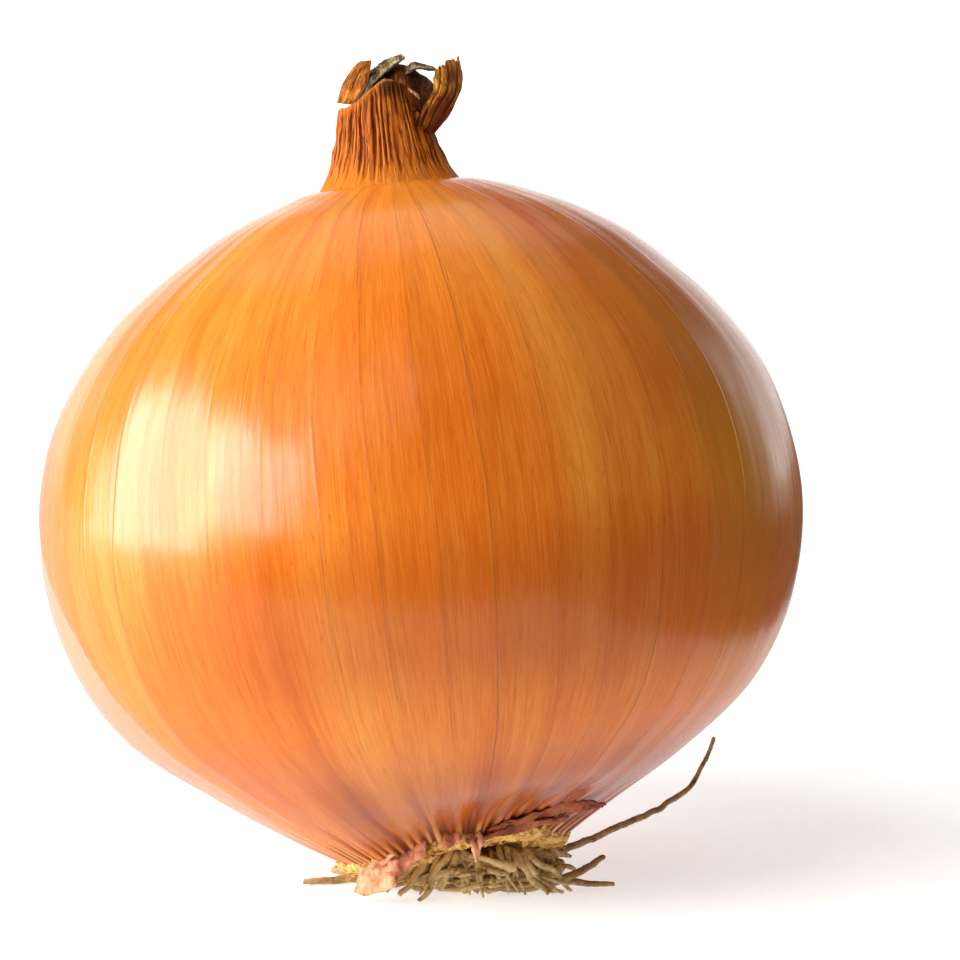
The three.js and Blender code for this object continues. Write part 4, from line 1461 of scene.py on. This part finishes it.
@dataclass
class Studio:
    """The camera at the photograph's angle, the pale floor, the backdrop and the soft lights."""

    aim: Point = (2.65, 0, 43.46)
    elevation: float = math.radians(8)
    distance: float = 594
    lens: float = 208.82
    bulb_centre: Point = (-3.8, 2.8, 39.6)
    sensor: float = 36
    reach: float = 1500
    floor_ends: tuple[float, float] = (-125, 2400)
    shine_right: float = 78
    backdrop: Point = (1000, 1000, 386)

    def build(self) -> None:
        """Builds the whole studio."""
        self.camera()
        self.floor()
        self.world(0.08, 1.1)
        self.panel("softbox", (-0.965, -0.066, 0.28), 560, (480, 390), 6.0)
        self.panel("softbox_sheen", (-0.965, -0.066, 0.3), 550, (480, 430), 4.2, LightUse.GLOSS)
        self.panel("softbox_edge", (-0.755, -0.579, 0.307), 620, (290, 280), 5.5)
        self.panel("softbox_edge_sheen", (-0.755, -0.579, 0.307), 610, (290, 280), 3.8, LightUse.GLOSS)
        self.panel("overhead", (-0.05, 0.62, 0.78), 800, (700, 420), 0.6)
        self.panel("rim", (0.71, 0.68, 0.2), 800, (200, 480), 0.8)
        self.panel("fill", (-0.38, -0.5, 0.78), 700, (500, 500), 5.4, LightUse.SURFACE)

    def camera(self) -> None:
        """Points the camera at the aim from the front."""
        data = bpy.data.cameras.new("camera")
        data.lens, data.sensor_width, data.clip_start = self.lens, self.sensor, 0.01
        camera = bpy.data.objects.new("camera", data)
        away = Vector((0, -math.cos(self.elevation), math.sin(self.elevation)))
        camera.location = (Vector(self.aim) + away * self.distance) * MM
        camera.rotation_euler = away.to_track_quat("Z", "Y").to_euler()
        bpy.context.scene.collection.objects.link(camera)
        bpy.context.scene.camera = camera

    def floor(self) -> None:
        """Lays the pale floor and its reflected part, and stands the white backdrop behind them."""
        paper = Paper("floor_paper", colour=(0.66, 0.655, 0.65), glow=0.96)
        self.sheet("floor", self.level(self.reach, 0), paper).visible_glossy = False
        glow = Paper("floor_sheen_paper", colour=(0.2, 0.2, 0.2), glow=3.8)
        sheen = self.sheet("floor_sheen", self.level(self.shine_right, -1), glow)
        sheen.visible_camera = sheen.visible_diffuse = sheen.visible_shadow = False
        side, back, top = self.backdrop
        corners = [(-side, back, -1), (side, back, -1), (side, back, top), (-side, back, top)]
        self.sheet("backdrop", corners, Paper("backdrop_paper", glow=0.9))

    def level(self, right: float, height: float) -> list[Point]:
        """The corners of a level sheet that ends at a distance to the right."""
        front, back = self.floor_ends
        left = -self.reach
        return [(left, front, height), (right, front, height), (right, back, height), (left, back, height)]

    def sheet(self, name: str, corners: Sequence[Point], finish: Finish) -> bpy.types.Object:
        """One flat stage piece from its four corners."""
        piece = to_object(name, np.array(corners, float), [(0, 1, 2, 3)])
        piece.data.materials.append(finish.make())
        return piece

    def world(self, strength: float, seen: float) -> None:
        """Sets an even surrounding that lights dimly and looks as pale as the floor."""
        world = bpy.data.worlds.new("studio")
        world.use_nodes = True
        web = Web(world.node_tree)
        straight = web.add("ShaderNodeLightPath").output("Is Camera Ray")
        values = {"Color": (1, 0.98, 0.95, 1), "Strength": straight * (seen - strength) + strength}
        light = web.add("ShaderNodeBackground", None, values)
        web.add("ShaderNodeOutputWorld", None, {"Surface": light})
        bpy.context.scene.world = world

    def panel(self, name: str, direction: Point, distance: float, size: tuple[float, float], radiance: float,
              use: LightUse = LightUse.ALL) -> None:
        """A rectangular soft light that faces the bulb.

        Args:
            name: The light's name.
            direction: From the bulb to the light.
            distance: Millimetres between them.
            size: Width and height in millimetres.
            radiance: How bright its face looks, where white paper in the light is about 1.
            use: What it does.
        """
        data = bpy.data.lights.new(name, "AREA")
        data.shape = "RECTANGLE"
        data.size, data.size_y = size[0] * MM, size[1] * MM
        data.energy = radiance * math.pi * data.size * data.size_y
        light = bpy.data.objects.new(name, data)
        away = Vector(direction).normalized()
        light.location = (Vector(self.bulb_centre) + away * distance) * MM
        light.rotation_euler = away.to_track_quat("Z", "Y").to_euler()
        light.visible_diffuse, light.visible_glossy = use.value
        bpy.context.scene.collection.objects.link(light)


def main() -> None:
    """Builds every piece in order and reports each."""
    logging.basicConfig(level=logging.INFO, format="%(message)s")
    bpy.context.scene.view_settings.view_transform = "Standard"
    shape, ribs, strands, flakes = BulbShape(), RibbedSkin(), RootStrands(), CorkFlakes()
    sheath = DryLeaf("pleated_sheath", lipped=True)
    dark = DryLeaf("dark_leaf", crest=(0.3, 0.085, 0.016), middle=(0.16, 0.04, 0.007), groove=(0.05, 0.012, 0.003))
    olive = DryLeaf("olive_leaf", crest=(0.78, 0.62, 0.38), middle=(0.44, 0.33, 0.17), groove=(0.1, 0.06, 0.025))
    leaf = DryLeaf("leaf_end", crest=(0.86, 0.36, 0.045), middle=(0.58, 0.18, 0.014), groove=(0.2, 0.045, 0.005))
    # A lighter copy of the leaf colours: painted light on the upright leaf, which faces away from the lights.
    bright = DryLeaf("upright_leaf", crest=(0.95, 0.5, 0.08), middle=(0.78, 0.29, 0.03), groove=(0.33, 0.085, 0.01))
    peach = Mottled("peach_skin", light=(0.95, 0.68, 0.46), middle=(0.82, 0.42, 0.22), dark=(0.5, 0.17, 0.07),
                    mark_scale=330.0, stretch=(1, 1, 0.3), roughness=(0.4, 0.6))
    pink = Mottled("pink_skin", light=(0.9, 0.55, 0.38), middle=(0.66, 0.24, 0.12), dark=(0.36, 0.09, 0.04),
                   mark_scale=330.0, stretch=(1, 1, 0.3), roughness=(0.4, 0.6))
    rust = Mottled("rust_skin", light=(0.62, 0.23, 0.09), middle=(0.36, 0.08, 0.022), dark=(0.14, 0.024, 0.006),
                   mark_scale=330.0, roughness=(0.4, 0.6))
    cork = Mottled("cork", light=(1.0, 0.8, 0.34), middle=(0.93, 0.58, 0.16), dark=(0.32, 0.13, 0.03),
                   mark_scale=420.0, relief=0.25)
    root = Mottled("tuft_root_skin", light=(0.96, 0.8, 0.48), middle=(0.66, 0.46, 0.2), dark=(0.2, 0.115, 0.04),
                   mark_scale=420.0, relief=0.12)
    stray = Mottled("stray_root_skin", light=(0.68, 0.48, 0.24), middle=(0.42, 0.27, 0.11), dark=(0.14, 0.075, 0.03),
                    mark_scale=420.0, relief=0.12)
    Studio().build()
    pieces = [BulbBody(shape, BulbSkin("bulb_skin"), ribs).build()]
    pieces.append(NeckSheath(shape, sheath, ribs).build())
    pieces += NeckLeaves(shape, leaf, dark, olive, peach, bright).build()
    pieces += RootEndSkins(shape, peach, pink, rust).build()
    pieces.append(CorkPlate(shape, cork, flakes).build())
    pieces += RootTuft(root, stray, strands).build()
    for piece in pieces:
        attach(piece, "root")
        piece.data.calc_loop_triangles()
        logging.info("%s: %d triangles", piece.name, len(piece.data.loop_triangles))


if __name__ == "__main__":
    main()
